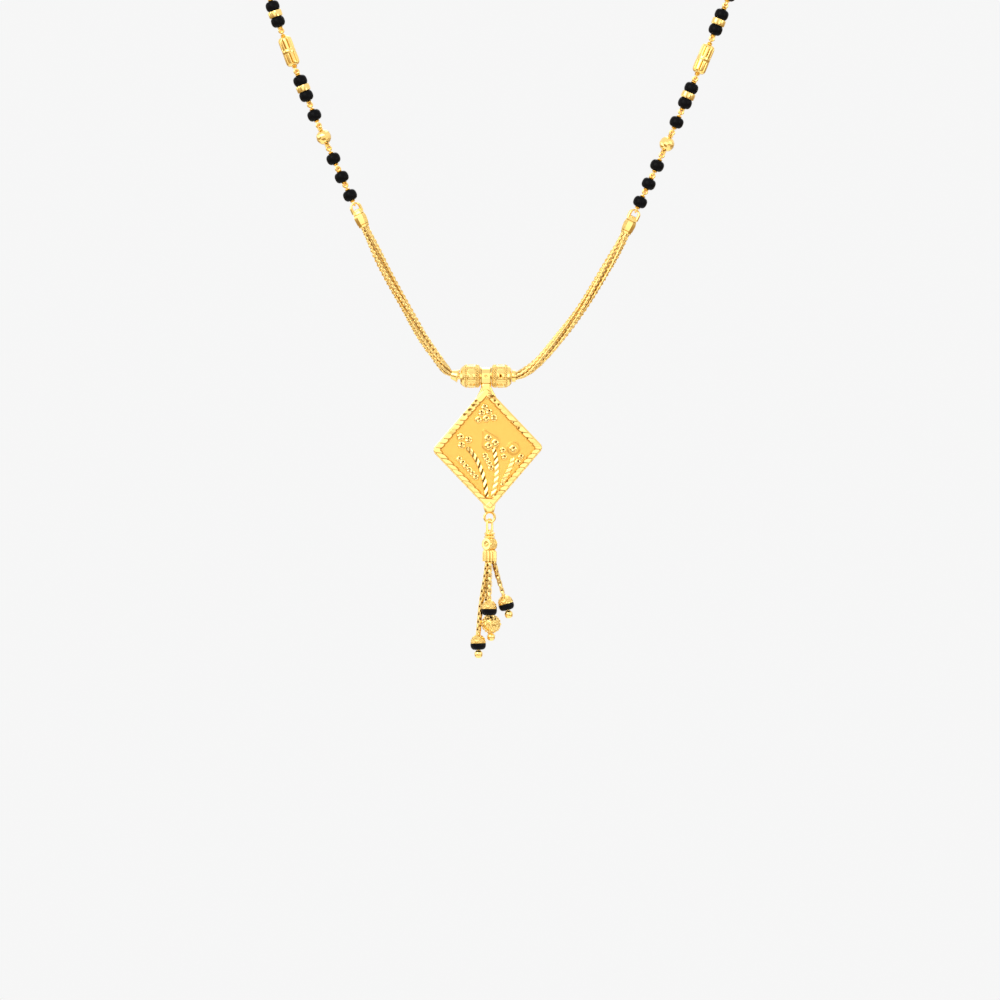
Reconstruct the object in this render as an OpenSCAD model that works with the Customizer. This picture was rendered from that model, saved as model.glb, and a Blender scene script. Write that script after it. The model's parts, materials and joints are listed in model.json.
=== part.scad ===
// Short mangalsutra, held up as it is worn: two strings of black and gold beads on linked
// eye pins, a bundle of fine chains on each side of two barrels, and a diamond-shaped
// pendant that swings on a rod between the barrels with a small tassel below it.
// Everything is drawn with the bail's axis at x = 0, z = 0 and then lowered by the nape's
// place, so that the origin is where the closed loop lies on the back of the neck.

/* [Loop] */
// Half width of the loop at the sides of the neck
neck_half_w = 56; // [55.5:0.5:56.5]
// Distance from the front of the loop back to the nape
neck_depth = 92; // [91:0.5:93]
// Height of the nape above the bail's axis
nape_height = 110; // [109:0.5:111]
// Number of eye pins on each side
pins_per_side = 37; // [37:1:37]

/* [Bead string] */
// Diameter of a black bead
bead_d = 2.52; // [2.3:0.02:2.6]
// Length of a black bead along its pin
bead_len = 1.95; // [1.8:0.05:1.95]
// Diameter of the gold spacer between two black beads
spacer_d = 2.4; // [2:0.1:2.5]
// Distance between the black beads beside a spacer
pair_pitch = 2.9; // [2.8:0.05:3]
// Diameter of a diamond-cut gold ball
ball_d = 2.7; // [2.4:0.1:2.8]
// Length of a fluted gold tube
tube_len = 5.5; // [5:0.1:5.6]
// Diameter of a fluted gold tube
tube_d = 2.5; // [2.2:0.1:2.6]
// Radius of an eye, to the middle of its wire
eye_r = 0.38; // [0.36:0.01:0.38]
// Radius of the wire of an eye
eye_wire_r = 0.13; // [0.12:0.01:0.13]

/* [Chain bundles] */
// Diameter of a bundle of fine chains
rope_d = 2.1; // [1.9:0.05:2.2]
// Number of chains that show round a bundle
rope_strands = 5; // [4:1:6]
// Turns of a bundle between its cap and its ferrule
rope_turns = 0.6; // [0:0.1:1]
// Length of the ferrule that ends a bundle
ferrule_len = 3.1; // [2.8:0.1:3.3]

/* [Middle group] */
// Diameter of the rod that carries the barrels and the bail
rod_d = 1.2; // [1:0.1:1.3]
// Diameter of a barrel
barrel_d = 4.2; // [4:0.1:4.4]
// Length of a barrel
barrel_len = 3.5; // [3.3:0.1:3.6]
// Number of flats round the belt of a barrel
barrel_flats = 10; // [8:1:12]
// Diameter of the bail's tube
bail_d = 3.1; // [2.8:0.1:3.3]
// Length of the bail's tube
bail_len = 2; // [1.8:0.1:2]

/* [Pendant] */
// Half width of the diamond, before its corners are rounded
pendant_half_w = 10.1; // [9.5:0.1:10.5]
// Half height of the diamond, before its corners are rounded
pendant_half_h = 11.2; // [10.8:0.1:11.3]
// Depth of the diamond's centre below the bail's axis
pendant_drop = 13.1; // [13:0.1:13.4]
// Thickness of the plate
plate_t = 0.7; // [0.6:0.05:0.9]
// Width of the cut border
border_w = 1.1; // [1:0.05:1.3]
// Height of one cut of the border above the next
border_pitch = 0.9; // [0.8:0.05:1.1]
// Tilt of the plate on its bail, in degrees
hang_tilt = 1.5; // [1.2:0.1:1.6]

/* [Tassel] */
// Radius of the ring below the pendant, to the middle of its wire
ring_r = 1; // [0.98:0.02:1.02]
// Diameter of the fluted collar that holds the tassel's chains
collar_d = 2.65; // [2.5:0.05:2.7]
// Width of a tassel chain
tassel_chain_w = 0.76; // [0.7:0.02:0.76]
// Diameter of a two-tone drop bead
drop_d = 2.8; // [2.7:0.05:2.8]
// Diameter of the granulated ball
grain_ball_d = 3.4; // [3.2:0.05:3.4]

/* [Hidden] */

$fn = 48;
gold = "#e8b84a";
satin_gold = "#f0b850";
black = "#141416";
gap = 0.1;
left = -1;
right = 1;

// Places and directions along the loop, from the right ferrule round the neck to the left
nape = [0, neck_depth, nape_height];
right_start = [26.8, 0, 29.7];
right_top = [42.4, 0, 65.5];
left_start = [-23.9, 0, 30.9];
left_top = [-38.6, 0, 66.6];
neck_side = [neck_half_w, 42, 101];
right_start_dir = [sin(25.3), 0, cos(25.3)];
right_top_dir = [sin(21.9), 0, cos(21.9)];
left_start_dir = [-sin(24.7), 0, cos(24.7)];
left_top_dir = [-sin(19), 0, cos(19)];
neck_side_dir = [0.06, 0.93, 0.36];
route_steps = 24;

function unit(v) = v / norm(v);
function mirror_x(v) = [-v[0], v[1], v[2]];
function bezier(a, b, c, d, t) =
    a * pow(1 - t, 3) + 3 * b * t * pow(1 - t, 2) + 3 * c * t * t * (1 - t) + d * pow(t, 3);
function bend(p, q, p_dir, q_dir) =
    let (k = 0.38 * norm(q - p), a = unit(p_dir), b = unit(q_dir))
    [for (i = [0:route_steps - 1]) bezier(p, p + k * a, q - k * b, q, i / route_steps)];

route = concat(
    bend(right_start, right_top, right_start_dir, right_top_dir),
    bend(right_top, neck_side, right_top_dir, neck_side_dir),
    bend(neck_side, nape, neck_side_dir, [-1, 0, 0]),
    bend(nape, mirror_x(neck_side), [-1, 0, 0], -mirror_x(neck_side_dir)),
    bend(mirror_x(neck_side), left_top, -mirror_x(neck_side_dir), -left_top_dir),
    bend(left_top, left_start, -left_top_dir, -left_start_dir),
    [left_start]);
reach = [for (i = 0, s = 0; i < len(route);
    s = s + norm(route[min(i + 1, len(route) - 1)] - route[i]), i = i + 1) s];
route_len = reach[len(reach) - 1];
function route_at(s) =
    let (i = min(len([for (r = reach) if (r <= s) r]) - 1, len(route) - 2),
        t = (s - reach[i]) / (reach[i + 1] - reach[i]))
    route[i] + t * (route[i + 1] - route[i]);

// A string is a row of eye pins; this is what each pin of the repeat carries
pattern = ["bead", "bead", "bead", "ball", "bead", "pair", "tube", "pair", "bead", "ball"];
// Distance from the joint between two eyes to the outside of either of them
eye_out = (2 * eye_r - 2 * eye_wire_r - gap) / 2;
eye_reach = eye_out + eye_r + eye_wire_r;
// Columns: what the pin carries, its length, bare wire between it and each eye
loads = [["bead", bead_len, 0.12],
    ["ball", ball_d, 0.4],
    ["pair", pair_pitch + bead_len, 0.3],
    ["tube", tube_len, 0.25]];
function load_of(k) = pattern[k % len(pattern)];
function pin_len(k) = [for (row = loads) if (row[0] == load_of(k)) row[1] + 2 * row[2]][0]
    + 2 * eye_reach;
pin_lens = [for (k = [0:pins_per_side - 1]) pin_len(k)];
pin_ends = [for (i = 0, s = 0; i <= pins_per_side;
    s = s + (i < pins_per_side ? pin_lens[i] : 0), i = i + 1) s];
string_len = pin_ends[pins_per_side];
clasp_body_len = 4.4;
clasp_len = clasp_body_len + 2 * eye_reach;
// The pins are let out by this share so that the closed loop meets at the clasp
fit = route_len / (2 * string_len + clasp_len);
function joint(side, k) =
    route_at(side == right ? fit * pin_ends[k] : route_len - fit * pin_ends[k]);

pin_wire_r = 0.11;
bore_r = pin_wire_r + gap + 0.03;

module move_to(origin, x_dir, z_dir) {
    x = unit(x_dir);
    z = unit(z_dir - (z_dir * x) * x);
    y = cross(z, x);
    multmatrix([[x[0], y[0], z[0], origin[0]],
        [x[1], y[1], z[1], origin[1]],
        [x[2], y[2], z[2], origin[2]],
        [0, 0, 0, 1]]) children();
}

module placed() {
    translate(-nape) children();
}

module along_x() {
    rotate([0, 90, 0]) children();
}

// Puts its children on pin k of one side, along X, with every second pin turned by 90 degrees
module on_pin(side, k) {
    a = joint(side, k);
    b = joint(side, k + 1);
    u = unit(b - a);
    n = unit([-u[1], u[0], 0]);
    move_to((a + b) / 2, u, k % 2 == 0 ? cross(u, n) : n) children();
}

module on_each(side, load) {
    for (k = [0:pins_per_side - 1])
        if (load_of(k) == load) on_pin(side, k) children();
}

module eye(r, wire_r) {
    rotate_extrude() translate([r, 0]) circle(wire_r, $fn = 24);
}

// Short round bead with a rounded shoulder at each end
module black_bead() {
    shoulder_r = 0.532 * bead_d;
    along_x() rotate_extrude() intersection() {
        circle(shoulder_r);
        translate([bore_r, -bead_len / 2]) square([bead_d / 2 - bore_r, bead_len]);
    }
}

module spacer() {
    spacer_len = pair_pitch - bead_len - 2 * gap;
    rim_r = 0.6 * spacer_len;
    along_x() rotate_extrude() intersection() {
        translate([spacer_d / 2 - rim_r, 0]) circle(rim_r);
        translate([bore_r, -spacer_len / 2]) square([spacer_d, spacer_len]);
    }
}

// Ball cut to flats on every side: six along the axes and twelve across the edges
module gold_ball() {
    across = ball_d / 2 * 0.98;
    difference() {
        intersection() {
            cube(2 * across, center = true);
            rotate([45, 0, 0]) cube(2 * across, center = true);
            rotate([0, 45, 0]) cube(2 * across, center = true);
            rotate([0, 0, 45]) cube(2 * across, center = true);
        }
        along_x() cylinder(h = 2 * ball_d, r = bore_r, center = true);
    }
}

module fluted_outline(r, flutes, flute_r) {
    difference() {
        circle(r);
        for (i = [0:flutes - 1]) rotate(360 * i / flutes) translate([r + 0.4 * flute_r, 0])
            circle(flute_r, $fn = 24);
    }
}

// Gold tube with long flutes, round ends and a plain ring round its waist
module fluted_tube() {
    r = tube_d / 2;
    waist_len = 0.5;
    difference() {
        union() {
            intersection() {
                along_x() linear_extrude(tube_len, center = true) fluted_outline(r, 10, 0.3);
                along_x() rotate_extrude() polygon([[0, -tube_len / 2], [0.55 * r, -tube_len / 2],
                    [0.85 * r, -0.45 * tube_len], [r + gap, -0.36 * tube_len],
                    [r + gap, 0.36 * tube_len], [0.85 * r, 0.45 * tube_len],
                    [0.55 * r, tube_len / 2], [0, tube_len / 2]]);
            }
            along_x() cylinder(h = waist_len, r = r + 0.05, center = true);
        }
        along_x() cylinder(h = 2 * tube_len, r = bore_r, center = true);
    }
}

module eye_pin(len) {
    for (s = [-1, 1]) translate([s * (len / 2 - eye_out), 0, 0]) eye(eye_r, eye_wire_r);
    along_x() cylinder(h = len - 2 * (eye_out + eye_r), r = pin_wire_r, center = true, $fn = 24);
}

module black_beads(side) {
    color(black) placed() {
        on_each(side, "bead") black_bead();
        on_each(side, "pair") for (s = [-1, 1]) translate([s * pair_pitch / 2, 0, 0]) black_bead();
    }
}

module spacers(side) {
    color(gold) placed() on_each(side, "pair") spacer();
}

module gold_balls(side) {
    color(gold) placed() on_each(side, "ball") gold_ball();
}

module fluted_tubes(side) {
    color(gold) placed() on_each(side, "tube") fluted_tube();
}

module eye_pins(side) {
    color(gold) placed() for (k = [0:pins_per_side - 1])
        on_pin(side, k) eye_pin(norm(joint(side, k + 1) - joint(side, k)));
}

module left_black_beads() { black_beads(left); }
module right_black_beads() { black_beads(right); }
module left_spacers() { spacers(left); }
module right_spacers() { spacers(right); }
module left_gold_balls() { gold_balls(left); }
module right_gold_balls() { gold_balls(right); }
module left_fluted_tubes() { fluted_tubes(left); }
module right_fluted_tubes() { fluted_tubes(right); }
module left_eye_pins() { eye_pins(left); }
module right_eye_pins() { eye_pins(right); }

// Plain barrel clasp at the nape, with an eye at each end for the last pin of each side
module clasp() {
    a = joint(right, pins_per_side);
    b = joint(left, pins_per_side);
    len = norm(b - a);
    body_r = 1.1;
    color(gold) placed() move_to((a + b) / 2, b - a, [0, 1, 0]) {
        for (s = [-1, 1]) translate([s * (len / 2 - eye_out), 0, 0]) eye(eye_r, eye_wire_r);
        along_x() cylinder(h = len - 2 * (eye_out + eye_r), r = pin_wire_r, center = true);
        along_x() rotate_extrude() polygon([[0, -clasp_body_len / 2 + 0.3],
            [body_r - 0.3, -clasp_body_len / 2 + 0.3], [body_r, -clasp_body_len / 2 + 0.6],
            [body_r, clasp_body_len / 2 - 0.6], [body_r - 0.3, clasp_body_len / 2 - 0.3],
            [0, clasp_body_len / 2 - 0.3]]);
    }
}

// Ferrule: the cap that closes the upper end of a chain bundle, with a stout loop
loop_r = 0.75;
loop_wire_r = 0.14;
loop_arm_r = 0.22;
loop_in = eye_out + (loop_r - eye_r) - (loop_wire_r - eye_wire_r);
ferrule_reach = loop_in + loop_r + ferrule_len;
socket_depth = 0.8;
ferrule_r = 1.25;
function start_of(side) = side == right ? right_start : left_start;
function start_dir(side) = side == right ? right_start_dir : left_start_dir;
function ferrule_foot(side) = start_of(side) - ferrule_reach * start_dir(side);

module ferrule(side) {
    color(gold) placed() move_to(ferrule_foot(side), start_dir(side), [0, -1, 0]) {
        translate([ferrule_len + loop_r, 0, 0]) eye(loop_r, loop_wire_r);
        for (s = [-1, 1]) translate([ferrule_len - 0.3, s * loop_r, 0]) along_x()
            cylinder(h = loop_r + 0.2, r = loop_arm_r);
        difference() {
            intersection() {
                along_x() rotate([0, 0, 22.5]) cylinder(h = ferrule_len + 0.1, r = ferrule_r, $fn = 8);
                along_x() rotate_extrude() polygon([[0, 0], [0.88 * ferrule_r, 0],
                    [1.05 * ferrule_r, 0.7], [1.05 * ferrule_r, 1.6], [0.8 * ferrule_r, 2.4],
                    [0.6 * ferrule_r, ferrule_len + 0.1], [0, ferrule_len + 0.1]]);
            }
            translate([-1, 0, 0]) along_x() cylinder(h = 1 + socket_depth, r = 1);
        }
    }
}

module left_ferrule() { ferrule(left); }
module right_ferrule() { ferrule(right); }

// Middle group, from left to right: cap, barrel, bail, barrel, collar
bail_x = -0.2;
rod_r = rod_d / 2;
barrel_start = bail_len / 2 + gap;
barrel_end = barrel_start + barrel_len;
cap_len = 1.35;
cap_lean = 13;
collar_len = 0.65;
cap_foot = [bail_x - barrel_end - 0.32, 0, 0];
cap_axis = [-cos(cap_lean), 0, sin(cap_lean)];
collar_x = bail_x + barrel_end + gap;

// Route of a bundle, from the middle group to a little way inside the ferrule
left_rope_start = cap_foot + (cap_len - 0.25) * cap_axis;
right_rope_start = [collar_x + collar_len - 0.3, 0, 0];
rope_rings = 26;
rope_sides = 4 * rope_strands;
function rope_end(side) = ferrule_foot(side) + 0.6 * start_dir(side);
function rope_at(side, t) = side == left
    ? bezier(left_rope_start, left_rope_start + [-3.2, 0, 1.6],
        rope_end(left) - 12 * left_start_dir, rope_end(left), t)
    : bezier(right_rope_start, right_rope_start + [4.6, 0, 0],
        rope_end(right) - 10.5 * right_start_dir, rope_end(right), t);
// A bundle is gathered to a narrow end inside its cap, and a little inside its ferrule
function ease(t) = let (c = min(1, max(0, t))) c * c * (3 - 2 * c);
function rope_r(side, t) = let (narrow = side == left ? 0.45 : 0.72)
    rope_d / 2 * min(narrow + (1 - narrow) * ease(t / 0.12), 0.8 + 0.2 * ease((1 - t) / 0.05));

function rope_ring(side, i) = let (t = i / (rope_rings - 1),
        p = rope_at(side, t),
        u = unit(rope_at(side, min(1, t + 0.01)) - rope_at(side, max(0, t - 0.01))),
        w = cross(u, [0, -1, 0]))
    [for (j = [0:rope_sides - 1]) let (a = 360 * j / rope_sides,
            r = rope_r(side, t) * (0.93 + 0.07 * cos(rope_strands * (a - 360 * rope_turns * t))))
        p + r * cos(a) * [0, -1, 0] + r * sin(a) * w];

// Closed tube over equal rings of points
module skin(rings) {
    n = len(rings[0]);
    m = len(rings);
    polyhedron(points = [for (ring = rings) for (p = ring) p],
        faces = concat([[for (j = [0:n - 1]) j]],
            [for (i = [0:m - 2]) for (j = [0:n - 1])
                [i * n + j, (i + 1) * n + j, (i + 1) * n + (j + 1) % n]],
            [for (i = [0:m - 2]) for (j = [0:n - 1])
                [i * n + j, (i + 1) * n + (j + 1) % n, i * n + (j + 1) % n]],
            [[for (j = [n - 1:-1:0]) (m - 1) * n + j]]));
}

module chain_bundle(side) {
    color(gold) placed() skin([for (i = [0:rope_rings - 1]) rope_ring(side, i)]);
}

module left_chain_bundle() { chain_bundle(left); }
module right_chain_bundle() { chain_bundle(right); }

// Rod through the barrels and the bail, soldered into the cap and the collar at its ends
module carrier_rod() {
    cap_r = 1.17;
    color(gold) placed() {
        difference() {
            union() {
                move_to(cap_foot, cap_axis, [0, -1, 0]) along_x() rotate_extrude()
                    polygon([[0, 0], [cap_r, 0], [cap_r, 0.25], [0.9, cap_len], [0, cap_len]]);
                translate(cap_foot - [0.3, 0, 0]) along_x()
                    cylinder(h = collar_x - cap_foot[0] + 0.5, r = rod_r);
                translate([collar_x, 0, 0]) along_x() cylinder(h = collar_len, r = 1.06);
            }
            move_to(cap_foot + (cap_len - 0.45) * cap_axis, cap_axis, [0, -1, 0])
                along_x() cylinder(h = 1, r = 0.79);
            translate([collar_x + collar_len - 0.45, 0, 0]) along_x() cylinder(h = 1, r = 0.93);
        }
    }
}

// Barrel along X from its inner end, with a belt of flats between two raised bands
module barrel() {
    r = barrel_d / 2;
    belt_start = 0.27 * barrel_len;
    belt_len = 0.36 * barrel_len;
    difference() {
        union() {
            along_x() rotate_extrude() polygon([[0, 0], [0.78 * r, 0], [0.92 * r, 0.1 * barrel_len],
                [0.94 * r, 0.18 * barrel_len], [0.94 * r, 0.72 * barrel_len],
                [0.84 * r, 0.86 * barrel_len], [0.58 * r, barrel_len], [0, barrel_len]]);
            for (x = [0.2, 0.69]) translate([x * barrel_len, 0, 0]) along_x()
                eye(r - 0.17, 0.17);
            translate([belt_start, 0, 0]) along_x()
                cylinder(h = belt_len, r = r, $fn = barrel_flats);
        }
        translate([-1, 0, 0]) along_x() cylinder(h = barrel_len + 2, r = rod_r + gap);
    }
}

module left_barrel() {
    color(gold) placed() translate([bail_x - barrel_start, 0, 0]) mirror([1, 0, 0]) barrel();
}

module right_barrel() {
    color(gold) placed() translate([bail_x + barrel_start, 0, 0]) barrel();
}

// Rhombus with round corners, as points of its outline
function rounded_rhombus(a, c, r, steps = 5) =
    let (corners = [[a, 0, 0, atan(c / a)], [0, c, 90, atan(a / c)],
        [-a, 0, 180, atan(c / a)], [0, -c, 270, atan(a / c)]])
    [for (k = corners) for (i = [0:steps])
        let (inset = 1 - r / sin(k[3]) / norm([k[0], k[1]]),
            turn = k[2] + (90 - k[3]) * (2 * i / steps - 1))
        [k[0] * inset + r * cos(turn), k[1] * inset + r * sin(turn)]];

// Half sizes of the rhombus that lies border_w inside the outline
edge = norm([pendant_half_w, pendant_half_h]);
inner_half_w = pendant_half_w - border_w * edge / pendant_half_h;
inner_half_h = pendant_half_h - border_w * edge / pendant_half_w;
corner_r = 1;
border_low = 0.22;
border_high = 0.42;
field_t = 0.5 * plate_t;
apex_fill_h = 8.9;
cut_lean = -8;

module outline_2d() {
    polygon(rounded_rhombus(pendant_half_w, pendant_half_h, corner_r));
}

module border_2d() {
    difference() {
        outline_2d();
        polygon(rounded_rhombus(inner_half_w, inner_half_h, 0.3));
    }
}

// Nearly level ridges, one above the other across the whole diamond
module ridges() {
    half = ceil(pendant_half_h / border_pitch) + 2;
    rotate([90, 0, 90 + cut_lean]) linear_extrude(3 * pendant_half_w, center = true) polygon(concat(
        [[half * border_pitch, 0], [-half * border_pitch, 0]],
        [for (i = [-half:half - 1]) for (top = [0, 1])
            [(i + 0.65 * top) * border_pitch, top == 0 ? border_low : border_high]]));
}

// Border of the diamond, in the plate's own plane with its front towards +Z
module cut_border() {
    intersection() {
        ridges();
        linear_extrude(border_high) border_2d();
    }
}

// Columns: x and y of the first boss, x and y of the last, how many, radius
boss_rows = [
    [-0.5, 7.85, -0.5, 7.85, 1, 0.6],
    [-1.1, 6.9, 0.15, 7.1, 2, 0.6],
    [-1.75, 5.85, 1, 6.15, 3, 0.6],
    [-4.8, 2.35, -3.35, 1.8, 2, 0.68],
    [-4.65, 0.88, -4.65, 0.88, 1, 0.68],
    [0.05, 2.3, 1.35, 1.55, 2, 0.68],
    [0.05, 0.85, 0.05, 0.85, 1, 0.68],
    [4.6, 0.3, 4.6, 0.3, 1, 0.68],
    [-5.1, -1.65, -2.2, -4.95, 6, 0.5],
    [-0.55, -1.05, 0.6, -3.3, 4, 0.52],
    [2.7, -0.1, 2.9, -1.25, 2, 0.52],
    [6, -1.2, 5.55, -2.3, 2, 0.52],
    [2.5, -6.3, 2.5, -6.3, 1, 0.52]];
// Columns: start, two shaping points, end of each stem, and its number of cuts
stems = [
    [[-3.8, 0.4], [-2, -1.2], [-0.55, -4.6], [-0.45, -8.6], 8],
    [[1, 0.2], [1.75, -2.6], [1.7, -5.4], [0.55, -8.6], 8],
    [[4.5, -1.7], [4.1, -3.2], [3.2, -5], [2.4, -6.2], 5]];

module boss(r) {
    rise = 0.28;
    ball_r = (r * r + rise * rise) / (2 * rise);
    translate([0, 0, rise - ball_r]) sphere(ball_r, $fn = 32);
}

module bosses() {
    for (row = boss_rows) {
        steps = max(1, row[4] - 1);
        for (i = [0:row[4] - 1])
            translate([row[0] + (row[2] - row[0]) * i / steps,
                row[1] + (row[3] - row[1]) * i / steps, 0]) boss(row[5]);
    }
}

// Stem as a row of slanting ridged cuts
module stem(row) {
    cut = 0.62;
    cross_lean = 42;
    for (i = [0:row[4] - 1]) {
        t = (i + 0.5) / row[4];
        p = bezier(row[0], row[1], row[2], row[3], t);
        d = bezier(row[0], row[1], row[2], row[3], t + 0.02) - p;
        translate([p[0], p[1], 0]) rotate([0, 0, atan2(d[1], d[0]) - cross_lean])
            rotate([45, 0, 0]) cube([1.25, cut * 0.7, cut * 0.7], center = true);
    }
}

// Low bud outlines behind two of the flowers
module buds() {
    low = 0.12;
    translate([0.5, 1.5, 0]) linear_extrude(low) {
        circle(1.75);
        polygon([[-1.4, 1.05], [-0.9, 2.35], [0.4, 1.7]]);
    }
    translate([4.6, 0.3, 0]) cylinder(h = low, r = 0.95);
}

// Plate with its border, filled lower corner and raised flowers, front towards +Z
module face() {
    linear_extrude(plate_t) outline_2d();
    translate([0, 0, plate_t]) {
        cut_border();
        linear_extrude(border_low) intersection() {
            outline_2d();
            translate([-5, -apex_fill_h - 6]) square([10, 6]);
        }
        bosses();
        buds();
        for (row = stems) stem(row);
    }
}

ring_wire_r = 0.2;
ring_drop = 25.4;

// Diamond-shaped pendant, its bail on the rod and the ring that carries the tassel
module pendant() {
    color(satin_gold) placed() translate([bail_x, 0, 0]) {
        difference() {
            union() {
                along_x() cylinder(h = bail_len, r = bail_d / 2, center = true);
                for (s = [-1, 1]) translate([s * (bail_len / 2 - 0.15), 0, 0]) along_x()
                    cylinder(h = 0.3, r = bail_d / 2 + 0.08, center = true);
                rotate([0, -hang_tilt, 0]) {
                    translate([0, field_t, -pendant_drop]) rotate([90, 0, 0]) face();
                    translate([0, field_t + 0.1, 0]) rotate([90, 0, 0]) linear_extrude(plate_t + 0.3)
                        polygon([[0.9, -1.2], [0.95, -1.8], [1.15, -2.6], [1.72, -3.55],
                            [2, -4.2], [-2, -4.2], [-1.72, -3.55], [-1.15, -2.6],
                            [-0.95, -1.8], [-0.9, -1.2]]);
                    translate([0, field_t, 0]) rotate([90, 0, 0]) linear_extrude(plate_t)
                        polygon([[-0.95, -23.2], [0.95, -23.2], [0.7, -24.45], [-0.7, -24.45]]);
                    translate([0, 0, -ring_drop]) rotate([90, 0, 0]) eye(ring_r, ring_wire_r);
                }
            }
            along_x() cylinder(h = 2 * bail_len, r = rod_r + gap, center = true);
        }
    }
}

// Tassel: its link hangs on the lowest stretch of the pendant's ring
tassel_x = bail_x + ring_drop * sin(hang_tilt);
hinge_z = -ring_drop * cos(hang_tilt) - ring_r;
link_wire_r = 0.17;
link_r = 0.85;
link_turn = 45;
link_top = hinge_z + 0.66;
link_foot = -28.2;
drum_z = -30.25;
drum_r = 1.15;
drum_half_len = 0.85;
drum_turn = 47;
collar_top = -31.2;
collar_foot = -32.95;
lip_foot = -33.3;

module tassel_link() {
    bow_z = link_top - link_r;
    rotate([0, 0, link_turn]) {
        translate([0, 0, bow_z]) rotate([90, 0, 0]) rotate_extrude(angle = 180)
            translate([link_r, 0]) circle(link_wire_r, $fn = 24);
        for (s = [-1, 1]) translate([s * link_r, 0, link_foot])
            cylinder(h = bow_z - link_foot + 0.05, r = link_wire_r - 0.02, $fn = 24);
    }
}

module tassel_head() {
    r = collar_d / 2;
    color(gold) placed() translate([tassel_x, 0, 0]) {
        tassel_link();
        rotate_extrude() polygon([[0, link_foot + 0.1], [0.7, link_foot + 0.1],
            [0.98, link_foot - 0.15], [0.78, link_foot - 0.42], [1.02, link_foot - 0.75],
            [0.8, link_foot - 1.05], [0.75, link_foot - 2], [0, link_foot - 2]]);
        translate([0, 0, drum_z]) rotate([0, 0, drum_turn]) {
            along_x() cylinder(h = 2 * drum_half_len, r = drum_r, center = true);
            along_x() cylinder(h = 2 * drum_half_len + 0.16, r = 0.3, center = true);
        }
        intersection() {
            translate([0, 0, lip_foot]) linear_extrude(collar_top - lip_foot)
                fluted_outline(r, 12, 0.28);
            rotate_extrude() polygon([[0, collar_top], [0.75 * r, collar_top],
                [1.02 * r, collar_top - 0.4], [1.02 * r, collar_foot + 0.4],
                [0.8 * r, collar_foot], [0.8 * r, lip_foot], [0, lip_foot]]);
        }
    }
}

// Chains of the tassel: points from just below the collar to just above their drops
chain_top = lip_foot - 0.16;
left_chain = [[-0.35, 0.05, chain_top], [-0.8, 0.1, -38.5], [-1.26, 0.1, -42.3], [-1.55, 0.1, -46.15]];
back_chain = [[0.3, 0.72, chain_top], [-0.1, 0.95, -38.5], [0, 1.05, -41], [0.6, 0.85, -42.75]];
middle_chain = [[0.55, -0.5, chain_top], [0.55, -0.7, -37], [0.42, -0.9, -39.93]];
right_chain = [[1.2, 0.2, chain_top], [1.9, 0.1, -36], [2.86, 0, -39.02]];
chain_sides = 8;

function chain_ring(points, i) = let (n = len(points),
        u = unit(points[min(i + 1, n - 1)] - points[max(i - 1, 0)]),
        v = unit(cross([1, 0, 0], u)), w = cross(u, v), r = tassel_chain_w / 2)
    [for (j = [0:chain_sides - 1]) let (a = 360 * (j + 0.5) / chain_sides)
        points[i] + r * cos(a) * v + r * sin(a) * w];

module tassel_chain(points) {
    color(gold) placed() skin([for (i = [0:len(points) - 1]) chain_ring(points, i)]);
}

module left_tassel_chain() { tassel_chain(left_chain); }
module back_tassel_chain() { tassel_chain(back_chain); }
module middle_tassel_chain() { tassel_chain(middle_chain); }
module right_tassel_chain() { tassel_chain(right_chain); }

// Two-tone drop: a gold upper half with a pin below it, a black band round the pin, and
// for the outer drops a small ball that ends the pin
band_top = -0.18;
band_foot = -1.38;
end_ball_r = 0.7;
end_ball_z = -2.15;
grain_ball_end_z = -2.35;

module drop_upper(with_end) {
    r = drop_d / 2;
    rotate_extrude() intersection() {
        circle(r);
        translate([0, band_top]) square([r, 2 * r]);
    }
    cylinder(h = 0.25 + r, r = 0.34);
    translate([0, 0, with_end ? end_ball_z : band_foot - 0.05])
        cylinder(h = with_end ? -end_ball_z : -band_foot + 0.05, r = 0.2);
    if (with_end) translate([0, 0, end_ball_z]) sphere(end_ball_r);
}

module drop_band() {
    r = drop_d / 2;
    difference() {
        intersection() {
            translate([0, 0, band_foot]) cylinder(h = band_top - gap - band_foot, r = r);
            sphere(r + 0.03);
            translate([0, 0, -0.3]) sphere(r + 0.02);
        }
        translate([0, 0, -2]) cylinder(h = 3, r = 0.2 + gap);
    }
}

// Columns: name, place of the drop's centre, lean to the right in degrees
drops = [["left", [-1.6, 0.1, -47.9], 2],
    ["middle", [0.4, -0.9, -41.7], 0],
    ["right", [3.35, 0, -40.8], 15]];
function drop_row(name) = [for (row = drops) if (row[0] == name) row][0];

module at_drop(name) {
    row = drop_row(name);
    placed() translate(row[1]) rotate([0, -row[2], 0]) children();
}

module left_drop() { color(gold) at_drop("left") drop_upper(true); }
module left_drop_band() { color(black) at_drop("left") drop_band(); }
module middle_drop() { color(gold) at_drop("middle") drop_upper(false); }
module middle_drop_band() { color(black) at_drop("middle") drop_band(); }
module right_drop() { color(gold) at_drop("right") drop_upper(true); }
module right_drop_band() { color(black) at_drop("right") drop_band(); }

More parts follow.
